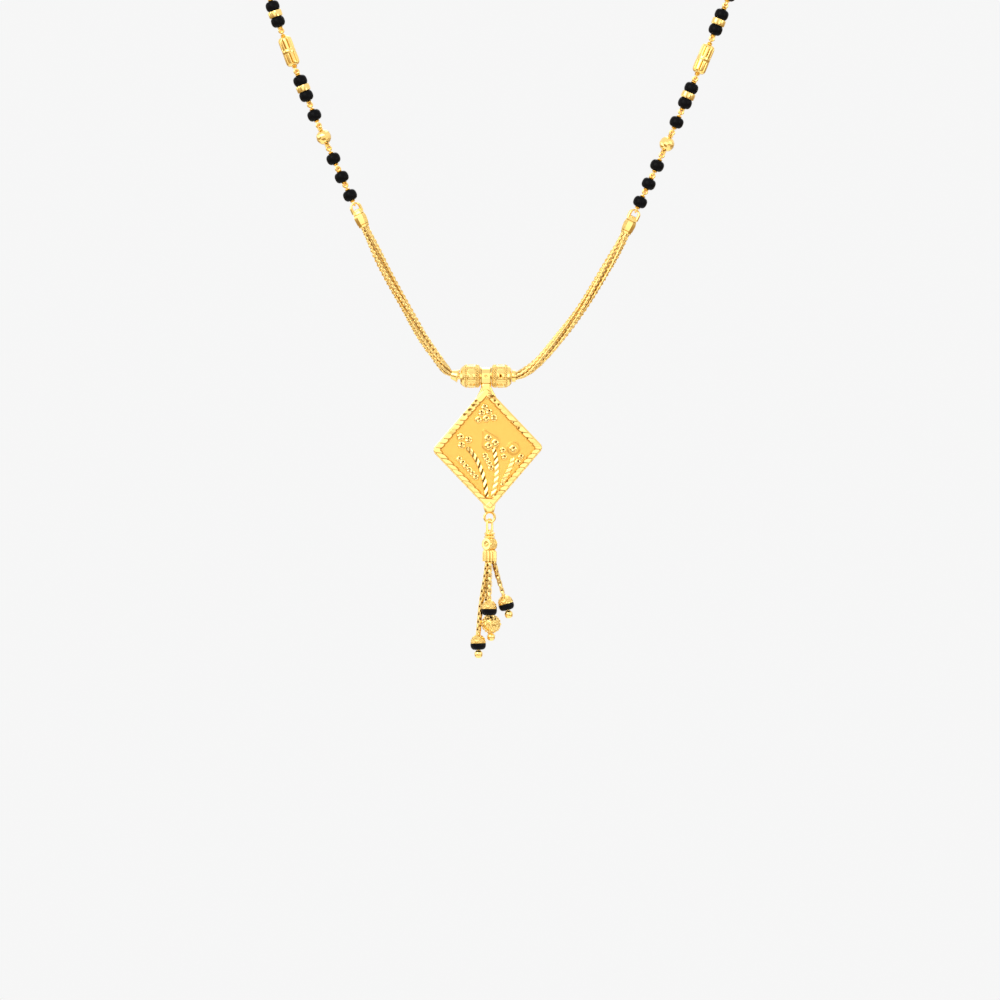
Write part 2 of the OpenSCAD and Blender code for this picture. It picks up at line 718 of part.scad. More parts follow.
// Ball covered with grains, on a pin that ends in a small ball
module grain_drop() {
    r = grain_ball_d / 2 - 0.12;
    grains = 34;
    color(gold) placed() translate([0.72, 0.75, -44.6]) {
        sphere(r);
        for (i = [1:grains - 2]) {
            z = 1 - 2 * (i + 0.5) / grains;
            turn = i * 137.508;
            translate([r * sqrt(1 - z * z) * cos(turn), r * sqrt(1 - z * z) * sin(turn), r * z])
                sphere(0.26, $fn = 24);
        }
        translate([0, 0, grain_ball_end_z]) cylinder(h = -grain_ball_end_z, r = 0.2);
        translate([0, 0, grain_ball_end_z]) sphere(end_ball_r);
    }
}

left_black_beads();
right_black_beads();
left_spacers();
right_spacers();
left_gold_balls();
right_gold_balls();
left_fluted_tubes();
right_fluted_tubes();
left_eye_pins();
right_eye_pins();
clasp();
left_ferrule();
right_ferrule();
left_chain_bundle();
right_chain_bundle();
carrier_rod();
left_barrel();
right_barrel();
pendant();
tassel_head();
left_tassel_chain();
back_tassel_chain();
middle_tassel_chain();
right_tassel_chain();
left_drop();
left_drop_band();
middle_drop();
middle_drop_band();
right_drop();
right_drop_band();
grain_drop();
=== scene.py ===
"""Looks of a short mangalsutra: glass and gold beads, chain bundles, a cut pendant and a tassel."""
import json
import math
from types import SimpleNamespace

import bpy
import numpy as np
from mathutils import Matrix, Vector


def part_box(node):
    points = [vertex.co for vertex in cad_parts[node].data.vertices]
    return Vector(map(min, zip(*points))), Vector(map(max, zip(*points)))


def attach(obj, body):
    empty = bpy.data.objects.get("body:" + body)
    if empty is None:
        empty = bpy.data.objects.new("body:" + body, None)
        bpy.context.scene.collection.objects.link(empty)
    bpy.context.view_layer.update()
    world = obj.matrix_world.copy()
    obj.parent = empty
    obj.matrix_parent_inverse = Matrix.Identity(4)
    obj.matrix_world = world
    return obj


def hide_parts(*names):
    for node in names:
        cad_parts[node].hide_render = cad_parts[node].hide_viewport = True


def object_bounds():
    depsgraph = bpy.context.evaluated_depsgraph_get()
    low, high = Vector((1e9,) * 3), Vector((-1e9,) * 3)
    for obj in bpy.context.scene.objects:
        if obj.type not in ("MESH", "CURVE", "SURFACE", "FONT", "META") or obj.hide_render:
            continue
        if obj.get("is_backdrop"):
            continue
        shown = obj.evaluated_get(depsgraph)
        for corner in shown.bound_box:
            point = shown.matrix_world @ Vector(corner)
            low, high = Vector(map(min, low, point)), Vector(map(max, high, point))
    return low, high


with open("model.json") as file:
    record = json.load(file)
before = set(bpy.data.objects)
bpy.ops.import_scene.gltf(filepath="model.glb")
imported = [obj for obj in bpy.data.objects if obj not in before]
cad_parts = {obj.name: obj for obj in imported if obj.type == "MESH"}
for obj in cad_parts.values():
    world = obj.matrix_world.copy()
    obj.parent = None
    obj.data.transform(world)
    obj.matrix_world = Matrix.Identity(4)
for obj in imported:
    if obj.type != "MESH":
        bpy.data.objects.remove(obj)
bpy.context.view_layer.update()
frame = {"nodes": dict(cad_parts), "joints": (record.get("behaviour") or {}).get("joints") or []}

bl_info = {
    "name": "Mangalsutra",
    "version": (1, 0, 0),
    "blender": (4, 5, 0),
    "location": "3D View > Sidebar > Mangalsutra",
    "description": "Dresses the frame of a short mangalsutra with its beads, chains and cut gold",
    "category": "Mesh",
}

MM = 0.001
TURN = 2 * np.pi
SEED = 7


# Solids: each is a pair of arrays, its points in millimetres and its quads

def unit(vectors):
    """Vectors of any shape, each divided by its own length."""
    vectors = np.asarray(vectors, float)
    return vectors / np.linalg.norm(vectors, axis=-1, keepdims=True)


def ease(t):
    """Smooth step: 3 t^2 - 2 t^3 between 0 and 1."""
    t = np.clip(t, 0, 1)
    return t * t * (3 - 2 * t)


def scoop(phase):
    """A row of hollow cuts: 0 on the ridge between two cuts and 1 at the middle of each."""
    return 1 - (2 * (phase % 1) - 1) ** 2


def angles(number):
    """The angles of a full turn in equal steps."""
    return TURN * np.arange(number) / number


def superellipse(a, power):
    """Its x and y at each angle: cosine and sine to the power 2 / power, with their signs kept."""
    c, s = np.cos(a), np.sin(a)
    return np.sign(c) * np.abs(c) ** (2 / power), np.sign(s) * np.abs(s) ** (2 / power)


def outward(points, quads):
    """The solid with its faces outwards: they are turned when the volume they enclose is negative."""
    a, b, c, d = (points[quads[:, i]] for i in range(4))
    volume = np.einsum("ij,ij->", a, np.cross(b, c) + np.cross(c, d))
    return points, quads if volume > 0 else quads[:, ::-1]


def grid(points, wrap_rows=False, wrap_columns=False):
    """Quads over rows and columns of points; a wrap joins the last row or column to the first."""
    rows, columns = points.shape[:2]
    i = np.arange(rows if wrap_rows else rows - 1)[:, None]
    j = np.arange(columns if wrap_columns else columns - 1)[None, :]
    after, beside = (i + 1) % rows, (j + 1) % columns
    quads = np.stack([i * columns + j, i * columns + beside, after * columns + beside,
                      after * columns + j], -1)
    return points.reshape(-1, 3), quads.reshape(-1, 4)


def ladder(count):
    """Quads that fill a flat ring of an even count of points, rung by rung across it."""
    i = np.arange(count // 2 - 1)
    return np.stack([i, i + 1, count - 2 - i, count - 1 - i], -1)


def capped(points):
    """A closed skin over rings of points, with a flat cap of quads at each end."""
    rows, sides = points.shape[:2]
    flat, quads = grid(points, wrap_columns=True)
    cap = ladder(sides)
    return outward(flat, np.concatenate([quads, cap[:, ::-1], (rows - 1) * sides + cap]))


def lathe(profile, sides, radius=None, closed=False, stagger=0.0):
    """Rows of (x, r) turned round X: y = r cos a and z = r sin a, where radius(x, a, r) may change r.
    stagger turns every second row by that share of a side, for diamond-shaped facets."""
    profile = np.asarray(profile, float)
    odd = (np.arange(len(profile)) % 2)[:, None]
    a = TURN * (np.arange(sides)[None, :] + stagger * odd) / sides
    x, r = profile[:, :1] + 0 * a, profile[:, 1:] + 0 * a
    if radius is not None:
        r = radius(x, a, r)
    points = np.stack([x, r * np.cos(a), r * np.sin(a)], -1)
    return outward(*grid(points, True, True)) if closed else capped(points)


def tube(path, radius, sides, closed=False, across=(0, 1, 0)):
    """A round wire along a path: each ring lies across the path's direction and starts from across."""
    path, across = np.asarray(path, float), np.asarray(across, float)
    u = unit(np.roll(path, -1, 0) - np.roll(path, 1, 0) if closed else np.gradient(path, axis=0))
    n = unit(across - (u @ across)[:, None] * u)
    b = np.cross(u, n)
    a = angles(sides)[:, None]
    r = np.broadcast_to(np.asarray(radius, float), len(path))[:, None, None]
    rings = path[:, None] + r * (np.cos(a) * n[:, None] + np.sin(a) * b[:, None])
    return outward(*grid(rings, True, True)) if closed else capped(rings)


def ring(r, wire, steps, sides, stretch=1.0):
    """A wire ring in the XY plane, longer along X by stretch."""
    a = angles(steps)
    path = np.stack([stretch * r * np.cos(a), r * np.sin(a), 0 * a], -1)
    return tube(path, wire, sides, closed=True, across=(0, 0, 1))


def join(*solids):
    """Several solids as one."""
    counts = np.cumsum([0] + [len(points) for points, _ in solids])
    return (np.concatenate([points for points, _ in solids]),
            np.concatenate([quads + n for (_, quads), n in zip(solids, counts)]))


def copies(solid, origins, axes):
    """The solid once in each frame: point = origin + x times the first axis + y the second + z the third."""
    points, quads = solid
    origins, axes = np.asarray(origins, float), np.asarray(axes, float)
    placed = origins[:, None] + np.einsum("nj,kji->kni", points, axes)
    numbers = quads[None] + len(points) * np.arange(len(origins))[:, None, None]
    return placed.reshape(-1, 3), numbers.reshape(-1, 4)


def moved(solid, shift):
    """The solid shifted by a vector."""
    return solid[0] + np.asarray(shift, float), solid[1]


def turned(solid, degrees, axis):
    """The solid turned round X, Y or Z through the origin, by the right hand rule."""
    c, s = math.cos(math.radians(degrees)), math.sin(math.radians(degrees))
    i, j = [(1, 2), (2, 0), (0, 1)]["XYZ".index(axis)]
    points = solid[0].copy()
    points[:, i] = c * solid[0][:, i] - s * solid[0][:, j]
    points[:, j] = s * solid[0][:, i] + c * solid[0][:, j]
    return points, solid[1]


def upright(solid):
    """A solid turned round X, stood up so that its X runs along Z."""
    return solid[0][:, [1, 2, 0]], solid[1]


def bezier(ends, t):
    """Cubic curve of four points, at each value of t."""
    a, b, c, d = (np.asarray(p, float) for p in ends)
    t = np.asarray(t, float)[:, None]
    return a * (1 - t) ** 3 + 3 * b * t * (1 - t) ** 2 + 3 * c * t * t * (1 - t) + d * t ** 3


def evenly(path, pitch):
    """Points along a path at equal steps of length, as many as the pitch goes into it."""
    steps = np.linalg.norm(np.diff(path, axis=0), axis=1)
    reach = np.concatenate([[0], np.cumsum(steps)])
    at = np.linspace(0, reach[-1], int(round(steps.sum() / pitch)))
    return np.stack([np.interp(at, reach, path[:, k]) for k in range(3)], -1)


def link_axes(centres, turn):
    """Axes of a chain's links at their centres: ahead, and two across it that are turned round it."""
    u = unit(np.gradient(centres, axis=0))
    n = unit(np.cross(u, [0, 1, 0]))
    side = np.cos(turn)[:, None] * n + np.sin(turn)[:, None] * np.cross(u, n)
    return np.stack([u, side, np.cross(u, side)], 1)


# The frame: places of the CAD solids, in millimetres

def loose_solids(node):
    """The triangles of each loose solid of a CAD node. Corners at one place count as one, and each
    takes the lowest number among its neighbours until nothing changes."""
    mesh = frame["nodes"][node].data
    corners = np.empty(3 * len(mesh.vertices), np.float32)
    mesh.vertices.foreach_get("co", corners)
    corners = corners.reshape(-1, 3) / MM
    mesh.calc_loop_triangles()
    triangles = np.empty(3 * len(mesh.loop_triangles), np.int32)
    mesh.loop_triangles.foreach_get("vertices", triangles)
    _, first, same = np.unique(np.round(corners, 3), axis=0, return_index=True, return_inverse=True)
    triangles = same.reshape(-1)[triangles].reshape(-1, 3)
    corners = corners[first]
    label = np.arange(len(corners))
    while True:
        lower = label.copy()
        np.minimum.at(lower, triangles.reshape(-1), np.repeat(label[triangles].min(1), 3))
        lower = lower[lower]
        if (lower == label).all():
            break
        label = lower
    owner = label[triangles[:, 0]]
    return [corners[triangles[owner == k]] for k in np.unique(owner)]


def own_frame(triangles):
    """Centre of a solid's surface, its axes from the longest to the shortest, and its reach along the
    first. The axes come from the surface's second moments."""
    a, b, c = triangles.transpose(1, 0, 2)
    area = np.linalg.norm(np.cross(b - a, c - a), axis=1)
    centre = np.einsum("t,tki->i", area, triangles) / area.sum() / 3
    p = triangles - centre
    total = p.sum(1)
    moments = np.einsum("t,tki,tkj->ij", area, p, p) + np.einsum("t,ti,tj->ij", area, total, total)
    axes = np.linalg.eigh(moments)[1].T[::-1]
    axes[1] = np.cross(axes[2], axes[0])
    along = p.reshape(-1, 3) @ axes[0]
    return centre, axes, along.min(), along.max()


def pins_of(side):
    """The eye pins of a side from the front to the nape: centres, axes along the pin, across its eyes
    and through them, and half lengths."""
    found = [own_frame(t) for t in loose_solids(f"{side}_eye_pins")]
    centres = np.array([f[0] for f in found])
    order = [int(centres[:, 2].argmin())]
    while len(order) < len(found):
        gaps = np.linalg.norm(centres - centres[order[-1]], axis=1)
        gaps[order] = np.inf
        order.append(int(gaps.argmin()))
    centres = centres[order]
    axes = np.array([found[k][1] for k in order])
    half = np.array([(found[k][3] - found[k][2]) / 2 for k in order])
    flip = np.where(np.einsum("ki,ki->k", axes[:, 0], np.gradient(centres, axis=0)) < 0, -1.0, 1.0)
    axes[:, :2] *= flip[:, None, None]
    return centres, axes, half


def carried(node, pins):
    """Centres of a node's solids, and for each the axes of the pin nearest to it."""
    centres = np.array([own_frame(t)[0] for t in loose_solids(node)])
    gaps = np.linalg.norm(centres[:, None] - pins[0][None], axis=2)
    return centres, pins[1][gaps.argmin(1)]


JOINTS = {j["name"]: np.array(j["pos_m"]) / MM for j in frame["joints"]}
# Middle of the bail's tube, and the place that the middle group and the pendant are drawn from
BAIL = JOINTS["pendant_swing"]
TASSEL_PIVOT = JOINTS["tassel_swing"]
# Point of the middle plane at the height of the bail's axis, which the tassel is measured from
MIDDLE = np.array([0, BAIL[1], BAIL[2]])
TO_FRONT = np.array([0.0, -1.0, 0.0])


# Pieces and their materials

# Painted shade: the gold is darkened by how hollow its surface is, found from its curvature
HOLLOW_GAIN = 0.1


def hollows(mesh, points, quads):
    """How hollow a surface is at each point, from 0 to 1: the mean curvature of the edges that meet
    there, counted where they rise to the outside, at 0.1 for each 1/mm."""
    normals = np.empty(3 * len(points), np.float32)
    mesh.vertex_normals.foreach_get("vector", normals)
    normals = normals.reshape(-1, 3)
    near, far = quads.ravel(), np.roll(quads, -1, 1).ravel()
    step = points[far] - points[near]
    square = np.einsum("ij,ij->i", step, step) + 1e-9
    bend = np.bincount(near, 2 * np.einsum("ij,ij->i", step, normals[near]) / square, len(points))
    bend -= np.bincount(far, 2 * np.einsum("ij,ij->i", step, normals[far]) / square, len(points))
    meeting = np.bincount(near, minlength=len(points)) + np.bincount(far, minlength=len(points))
    return np.clip(HOLLOW_GAIN * bend / np.maximum(meeting, 1), 0, 1)


def piece(name, solid, material, body, replaces=(), crease=32, hollow=0.0, **marks):
    """Puts a solid into the scene as one object, smooth below the crease angle, on its body, with its
    slot and the CAD nodes that it stands for. Each mark is a value at every point for the material;
    the hollow mark is painted shade, taken from the curvature of its own shape, and hollow adds to it."""
    points, quads = solid
    mesh = bpy.data.meshes.new(name)
    mesh.vertices.add(len(points))
    mesh.vertices.foreach_set("co", (points * MM).astype(np.float32).ravel())
    mesh.loops.add(4 * len(quads))
    mesh.loops.foreach_set("vertex_index", quads.astype(np.int32).ravel())
    mesh.polygons.add(len(quads))
    mesh.polygons.foreach_set("loop_start", np.arange(0, 4 * len(quads), 4, dtype=np.int32))
    mesh.polygons.foreach_set("use_smooth", np.ones(len(quads), bool))
    mesh.update(calc_edges=True)
    if mesh.validate():
        raise RuntimeError(f"{name} has faces that do not hold together")
    mesh.set_sharp_from_angle(angle=math.radians(crease))
    marks["hollow"] = np.maximum(hollows(mesh, points, quads), hollow)
    for key, values in marks.items():
        mesh.attributes.new(key, "FLOAT", "POINT").data.foreach_set("value", values.astype(np.float32))
    mesh.materials.append(finishes()[material])
    made = bpy.data.objects.new(name, mesh)
    bpy.context.scene.collection.objects.link(made)
    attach(made, body)
    if replaces:
        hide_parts(*replaces)
    return made


class Wire:
    """A socket of a node tree. Python's operators on it add Math nodes."""

    def __init__(self, tree, socket=None):
        self.tree = tree
        self.socket = socket

    def node(self, kind, settings, inputs, output=0):
        """Adds a node: its settings first, then the values or links of its sockets."""
        made = self.tree.nodes.new(kind)
        for key, value in settings.items():
            if key == "stops":
                for stop, (place, shade) in zip(made.color_ramp.elements, value):
                    stop.position, stop.color = place, shade
            else:
                setattr(made, key, value)
        for key, value in inputs.items():
            if isinstance(value, Wire):
                self.tree.links.new(value.socket, made.inputs[key])
            else:
                made.inputs[key].default_value = value
        return Wire(self.tree, made.outputs[output] if len(made.outputs) else None)

    def math(self, operation, a, b):
        return self.node("ShaderNodeMath", {"operation": operation}, {0: a, 1: b})

    def __add__(self, other):
        return self.math("ADD", self, other)

    __radd__ = __add__

    def __sub__(self, other):
        return self.math("SUBTRACT", self, other)

    def __rsub__(self, other):
        return self.math("SUBTRACT", other, self)

    def __mul__(self, other):
        return self.math("MULTIPLY", self, other)

    __rmul__ = __mul__

    def noise(self, scale, detail):
        """Noise on Object coordinates, with scale in cells to the metre."""
        place = self.node("ShaderNodeTexCoord", {}, {}, "Object")
        return self.node("ShaderNodeTexNoise", {}, {"Vector": place, "Scale": scale, "Detail": detail}, "Fac")

    def mark(self, name):
        """Value of a piece's own attribute, or 0 where it has none."""
        return self.node("ShaderNodeAttribute", {"attribute_name": name}, {}, "Fac")

    def blend(self, share, first, second, how="MIX"):
        """Mix of two colours by a share."""
        settings = {"data_type": "RGBA", "blend_type": how}
        return self.node("ShaderNodeMix", settings, {0: share, 6: first, 7: second}, 2)

    def bump(self, height, strength, distance):
        return self.node("ShaderNodeBump", {}, {
            "Height": height, "Strength": strength, "Distance": distance}, "Normal")


def new_material(name):
    """An empty material and a wire into its tree."""
    made = bpy.data.materials.new(name)
    made.use_nodes = True
    made.node_tree.nodes.clear()
    return made, Wire(made.node_tree)


def finish(wire, inputs):
    """Ends a material with its Principled shader."""
    shader = wire.node("ShaderNodeBsdfPrincipled", {}, inputs, "BSDF")
    wire.node("ShaderNodeOutputMaterial", {}, {"Surface": shader})


# Scales of the slow noises in gold and glass, in cells to the metre
DRIFT_SCALE, SWIRL_SCALE, SPECK_SCALE = 900, 700, 6000
# Tone that multiplies the gold's colour where it drifts, and how far it does
WARM, WARM_SHARE = (1.0, 0.93, 0.8, 1), 0.4
# Columns by slot: tone, tone where it is cut, roughness, scale of the grain in cells to the metre and its
# depth in metres
GOLDS = {
    "polished_gold": ("bright_gold", "bright_gold", 0.16, 9000, 0.000002),
    "fine_chain_gold": ("chain_gold", "chain_gold", 0.2, 12000, 0.000002),
    "satin_gold": ("satin_gold", "bright_gold", 0.46, 16000, 0.00001)}


def gold(slot, tones):
    """Gold with uneven polish: the colour drifts a little, painted shade darkens it where the hollow mark
    is high, fine grain breaks the reflections, and where a piece is marked as cut it is bright and smooth."""
    made, wire = new_material(slot)
    *keys, roughness, grain_scale, grain_depth = GOLDS[slot]
    # The last tone is the painted shade, mixed in by the hollow mark
    uncut, bright, deep = ((*getattr(tones, key), 1) for key in (*keys, "painted_shade_gold"))
    drift = wire.noise(DRIFT_SCALE, 2.0)
    hollow = wire.mark("hollow")
    cut = wire.mark("cut")
    grain = wire.noise(grain_scale, 4.0)
    warm = wire.blend(drift * WARM_SHARE, wire.blend(cut, uncut, bright), WARM, "MULTIPLY")
    finish(wire, {
        "Base Color": wire.blend(hollow, warm, deep),
        "Metallic": 1.0,
        "Roughness": roughness * (1 - 0.6 * cut) + 0.08 * drift + 0.06 * grain - 0.06,
        "Normal": wire.bump(grain * (1 - cut), 0.3, grain_depth)})
    return made


def black_glass(colour):
    """Opaque glass: nearly black, with a glossy skin that is a little uneven from the press."""
    made, wire = new_material("black_glass")
    swirl = wire.noise(SWIRL_SCALE, 3.0)
    speck = wire.noise(SPECK_SCALE, 2.0)
    lighter = (*[2 * c + 0.002 for c in colour], 1)
    finish(wire, {
        "Base Color": wire.blend(swirl * 0.5, (*colour, 1), lighter),
        "Roughness": 0.2 + 0.12 * swirl + 0.04 * speck,
        "IOR": 1.5,
        "Specular IOR Level": 0.045,
        "Normal": wire.bump(swirl, 0.25, 0.00006)})
    return made


# The materials by slot, filled once
MADE = {}


def finishes():
    """The materials by slot, made once."""
    if not MADE:
        tones = bpy.context.scene.mangalsutra_tones
        for slot in GOLDS:
            MADE[slot] = gold(slot, tones)
        MADE["black_glass"] = black_glass(tuple(tones.black_glass))
    return MADE


def length(name, millimetres, description):
    """A length property with its default given in millimetres."""
    return bpy.props.FloatProperty(name=name, description=description, default=millimetres * MM,
                                   min=0.0, unit="LENGTH", precision=5)


def colour(name, rgb, description):
    """A colour property."""
    return bpy.props.FloatVectorProperty(name=name, description=description, default=rgb, size=3,
                                         min=0.0, max=1.0, subtype="COLOR")


def count(name, number, description):
    """A whole number property."""
    return bpy.props.IntProperty(name=name, description=description, default=number, min=1)


def in_mm(group):
    """The lengths of a property group in millimetres, and its counts as they are."""
    values = {key: getattr(group, key) for key in group.__annotations__}
    return SimpleNamespace(**{key: v / MM if isinstance(v, float) else v for key, v in values.items()})


class MangalsutraTones(bpy.types.PropertyGroup):
    """Colours of the metals and the glass"""
    bright_gold: colour("Bright gold", (1.0, 0.72, 0.25), "Polished gold of beads, barrels and drops")
    chain_gold: colour("Chain gold", (1.0, 0.74, 0.29), "Gold of the fine chains")
    satin_gold: colour("Satin gold", (0.9, 0.55, 0.13), "Gold of the pendant")
    # Painted shade: the dark tone that gold is mixed towards in hollows, cuts, pits and between links
    painted_shade_gold: colour("Deep gold", (0.2, 0.08, 0.01), "Tone of the gold inside cuts and hollows")
    black_glass: colour("Black glass", (0.003, 0.003, 0.0035), "Glass of the black beads")


class MangalsutraStrings(bpy.types.PropertyGroup):
    """Sizes of what the eye pins carry"""
    bead_width: length("Bead width", 2.52, "Diameter of a black bead")
    bead_length: length("Bead length", 1.95, "Length of a black bead along its pin")
    hole: length("Hole radius", 0.22, "Radius of the hole through a black bead")
    spacer_width: length("Spacer width", 2.48, "Diameter of the gold disc between two black beads")
    spacer_length: length("Spacer length", 1.18, "Thickness of the gold disc")
    ball_width: length("Ball width", 2.72, "Diameter of a diamond-cut ball")
    tube_width: length("Tube width", 2.5, "Diameter of a fluted tube")
    tube_length: length("Tube length", 5.5, "Length of a fluted tube")
    flutes: count("Flutes", 9, "Cuts round a fluted tube")
    eye: length("Eye radius", 0.38, "Radius of an eye to the middle of its wire")
    eye_wire: length("Eye wire", 0.19, "Radius of the wire of an eye")
    pin_wire: length("Pin wire", 0.11, "Radius of the wire through a bead")


class MangalsutraBundles(bpy.types.PropertyGroup):
    """Sizes of the chain bundles and their ferrules"""
    width: length("Bundle width", 2.1, "Diameter of a bundle of fine chains")
    strands: count("Strands", 5, "Fine chains round the core of a bundle")
    pitch: length("Link pitch", 0.46, "Distance from link to link of a fine chain")
    link_wire: length("Link wire", 0.105, "Radius of the wire of a fine link")
    ferrule_length: length("Ferrule length", 3.1, "Length of a ferrule without its loop")
    ferrule_width: length("Ferrule width", 2.55, "Width of a ferrule across its flats")
    loop: length("Loop radius", 0.82, "Radius of the ferrule's loop to the middle of its wire")
    loop_reach: length("Loop reach", 1.5, "How far the middle of the loop's wire reaches beyond the ferrule")


class MangalsutraMiddle(bpy.types.PropertyGroup):
    """Sizes of the barrels and the bail"""
    barrel_width: length("Barrel width", 4.2, "Diameter of a barrel over its belt")
    barrel_length: length("Barrel length", 3.5, "Length of a barrel")
    squares: count("Squares", 8, "Cut squares round the belt of a barrel")
    grains: count("Grains", 40, "Grains in each row round a barrel")
    bail_width: length("Bail width", 3.1, "Diameter of the bail's tube")
    bail_length: length("Bail length", 2.0, "Length of the bail's tube")


class MangalsutraPendant(bpy.types.PropertyGroup):
    """Sizes of the diamond-shaped pendant"""
    half_width: length("Half width", 10.1, "Half width of the diamond before its corners are rounded")
    half_height: length("Half height", 11.2, "Half height of the diamond before its corners are rounded")
    drop: length("Drop", 13.1, "Depth of the diamond's centre below the bail's axis")
    thickness: length("Thickness", 0.7, "Thickness of the plate")
    corner: length("Corner radius", 1.0, "Radius of the diamond's corners")
    border: length("Border width", 1.1, "Width of the cut border")
    pitch: length("Cut pitch", 0.9, "Height of one cut of the border above the next")
    border_low: length("Border low", 0.385, "Height of the border in the groove between two cushions")
    border_high: length("Border high", 0.42, "Height of the border on top of a cushion")
    ring: length("Ring radius", 0.92, "Radius of the lower ring to the middle of its wire")
    ring_wire: length("Ring wire", 0.24, "Radius of the wire of the lower ring")


class MangalsutraTassel(bpy.types.PropertyGroup):
    """Sizes of the tassel"""
    collar: length("Collar width", 2.65, "Diameter of the fluted collar")
    chain: length("Chain width", 0.8, "Width of a box chain")
    link_pitch: length("Link pitch", 0.64, "Distance from link to link of a box chain")
    drop: length("Drop width", 2.8, "Diameter of a two-tone drop")
    grain_ball: length("Grain ball width", 3.16, "Diameter of the granulated ball below its grains")
    grains: count("Grains", 66, "Grains on the granulated ball")


class MangalsutraStage(bpy.types.PropertyGroup):
    """Camera distance, picture width and floor"""
    distance: length("Camera distance", 1500, "Distance from the camera to the pendant")
    width: length("Picture width", 180, "Width of the picture at the pendant")
    floor_drop: length("Floor drop", 100, "Depth of the floor below the tassel")
    floor_size: length("Floor size", 460, "Length of a side of the floor")
    backdrop: colour("Backdrop", (0.925, 0.925, 0.925), "Colour behind the necklace")


def pebbles(x, around, radius, rows, number, size):
    """Rows of round grains on a turned surface: each rises as a ball of the given size over its place,
    and every second row is shifted by half a grain."""
    rise = np.zeros_like(x)
    for k, place in enumerate(rows):
        step = (around * number / TURN + 0.5 * (k % 2)) % 1 - 0.5
        across = step * TURN * radius / number
        rise = np.maximum(rise, np.sqrt(np.clip(size ** 2 - across ** 2 - (x - place) ** 2, 0, None)))
    return rise


# Strings

def glass_bead(s):
    """Seed bead: its section is a superellipse of power 2.3 about a circle near the hole, so that its
    ends are nearly flat and its sides round."""
    x, rise = superellipse(angles(28), 2.3)
    middle_share = 0.36
    middle = middle_share * s.bead_width / 2
    deep = np.where(rise > 0, s.bead_width / 2 - middle, middle - s.hole)
    return lathe(np.stack([s.bead_length / 2 * x, middle + deep * rise], -1), 28, closed=True)


# Columns: x and radius on one half of a spacer, as shares of its length and of its outer radius
SPACER_ROWS = np.array([(0.37, 0.24), (0.38, 0.44), (0.42, 0.64), (0.475, 0.8), (0.5, 0.88), (0.47, 0.95),
                        (0.33, 0.99), (0.15, 1.0)])


def cut_spacer(s):
    """Gold disc with hollow faces that hold the beads' round ends, and a rim cut to a ring of facets."""
    section = np.concatenate([SPACER_ROWS, SPACER_ROWS[::-1] * [-1, 1]])
    facets, facet_depth = 14, 0.07

    def rim(x, around, r):
        on_rim = ease((r / s.spacer_width - 0.38) / 0.1)
        return r - facet_depth * on_rim * scoop(around * facets / TURN)
    return lathe(section * [s.spacer_length, s.spacer_width / 2], 6 * facets, rim, closed=True)


def cut_ball(width):
    """Ball cut to diamond facets: rows from pole to pole, every second one turned by half a facet."""
    rows, facets, pole = 10, 12, 0.14
    a = np.linspace(pole, np.pi - pole, rows)
    profile = np.stack([-width / 2 * np.cos(a), width / 2 * np.sin(a)], -1)
    return lathe(profile, facets, stagger=0.5)


def fluted_tube(s):
    """Tube with round ends and a plain ring round the waist; the narrow flutes of one half stand
    between those of the other."""
    half, r = s.tube_length / 2, s.tube_width / 2
    round_end, bulge, flute, flute_width, waist, waist_width = 0.7, 0.04, 0.3, 0.12, 0.05, 0.2
    x = np.linspace(-half, half, 91)
    left = np.clip((half - np.abs(x)) / round_end, 0, 1)
    profile = np.stack([x, r * (0.5 + 0.46 * np.sqrt(1 - (1 - left) ** 2))], -1)

    def flutes(x, around, r):
        beside = (around * s.flutes / TURN + 0.5 * (x > 0)) % 1 - 0.5
        cut = flute * np.exp(-(beside / flute_width) ** 2)
        window = ease((np.abs(x) - 0.3) / 0.3) * ease((half - 0.2 - np.abs(x)) / 0.5)
        swell = bulge * np.cos(np.pi * (np.abs(x) - half / 2) / half)
        return r + swell * window - cut * window + waist * np.exp(-(x / waist_width) ** 2)
    return lathe(profile, 144, flutes)


# Distance from the middle of an eye to the outside of its wire in the solids
EYE_EDGE = 0.51
# Columns: half length of a pin that carries a bead, ball, pair or tube, and its bare wire at each end
BARE_WIRE = [(2.115, 0.12), (2.77, 0.4), (3.745, 0.3), (4.02, 0.25)]
# Columns: place along the coil at a pin's neck as a share of its length, and its radius
COIL_ROWS = [(0, 0.1), (0.02, 0.42), (0.25, 0.52), (0.5, 0.4), (0.75, 0.5), (0.98, 0.4), (1, 0.1)]
# How far that coil reaches into the eye
COIL_REACH = 0.22


def eye_pins(s, pins):
    """Pins with an eye at each end: rings in the plane of the eyes, a shaft, and at each neck a coil
    that fills the bare wire between the eye and what the pin carries."""
    centres, axes, half = pins
    reach = half - EYE_EDGE
    bare = np.interp(half, *np.transpose(BARE_WIRE))
    coil = lathe(COIL_ROWS, 14)
    eyes, wraps = [], []
    for end in (-1, 1):
        outwards = axes * [[[end], [end], [1]]]
        eyes.append(copies(ring(s.eye, s.eye_wire, 22, 10), centres + reach[:, None] * outwards[:, 0], axes))
        load_end = centres + (reach - EYE_EDGE - bare)[:, None] * outwards[:, 0]
        outwards[:, 0] *= (bare + COIL_REACH)[:, None]
        wraps.append(copies(coil, load_end, outwards))
    shaft = lathe([[-0.5, s.pin_wire], [0.5, s.pin_wire]], 10)
    stretched = axes.copy()
    stretched[:, 0] *= 2 * (reach - s.eye)[:, None]
    return join(*eyes, *wraps, copies(shaft, centres, stretched))


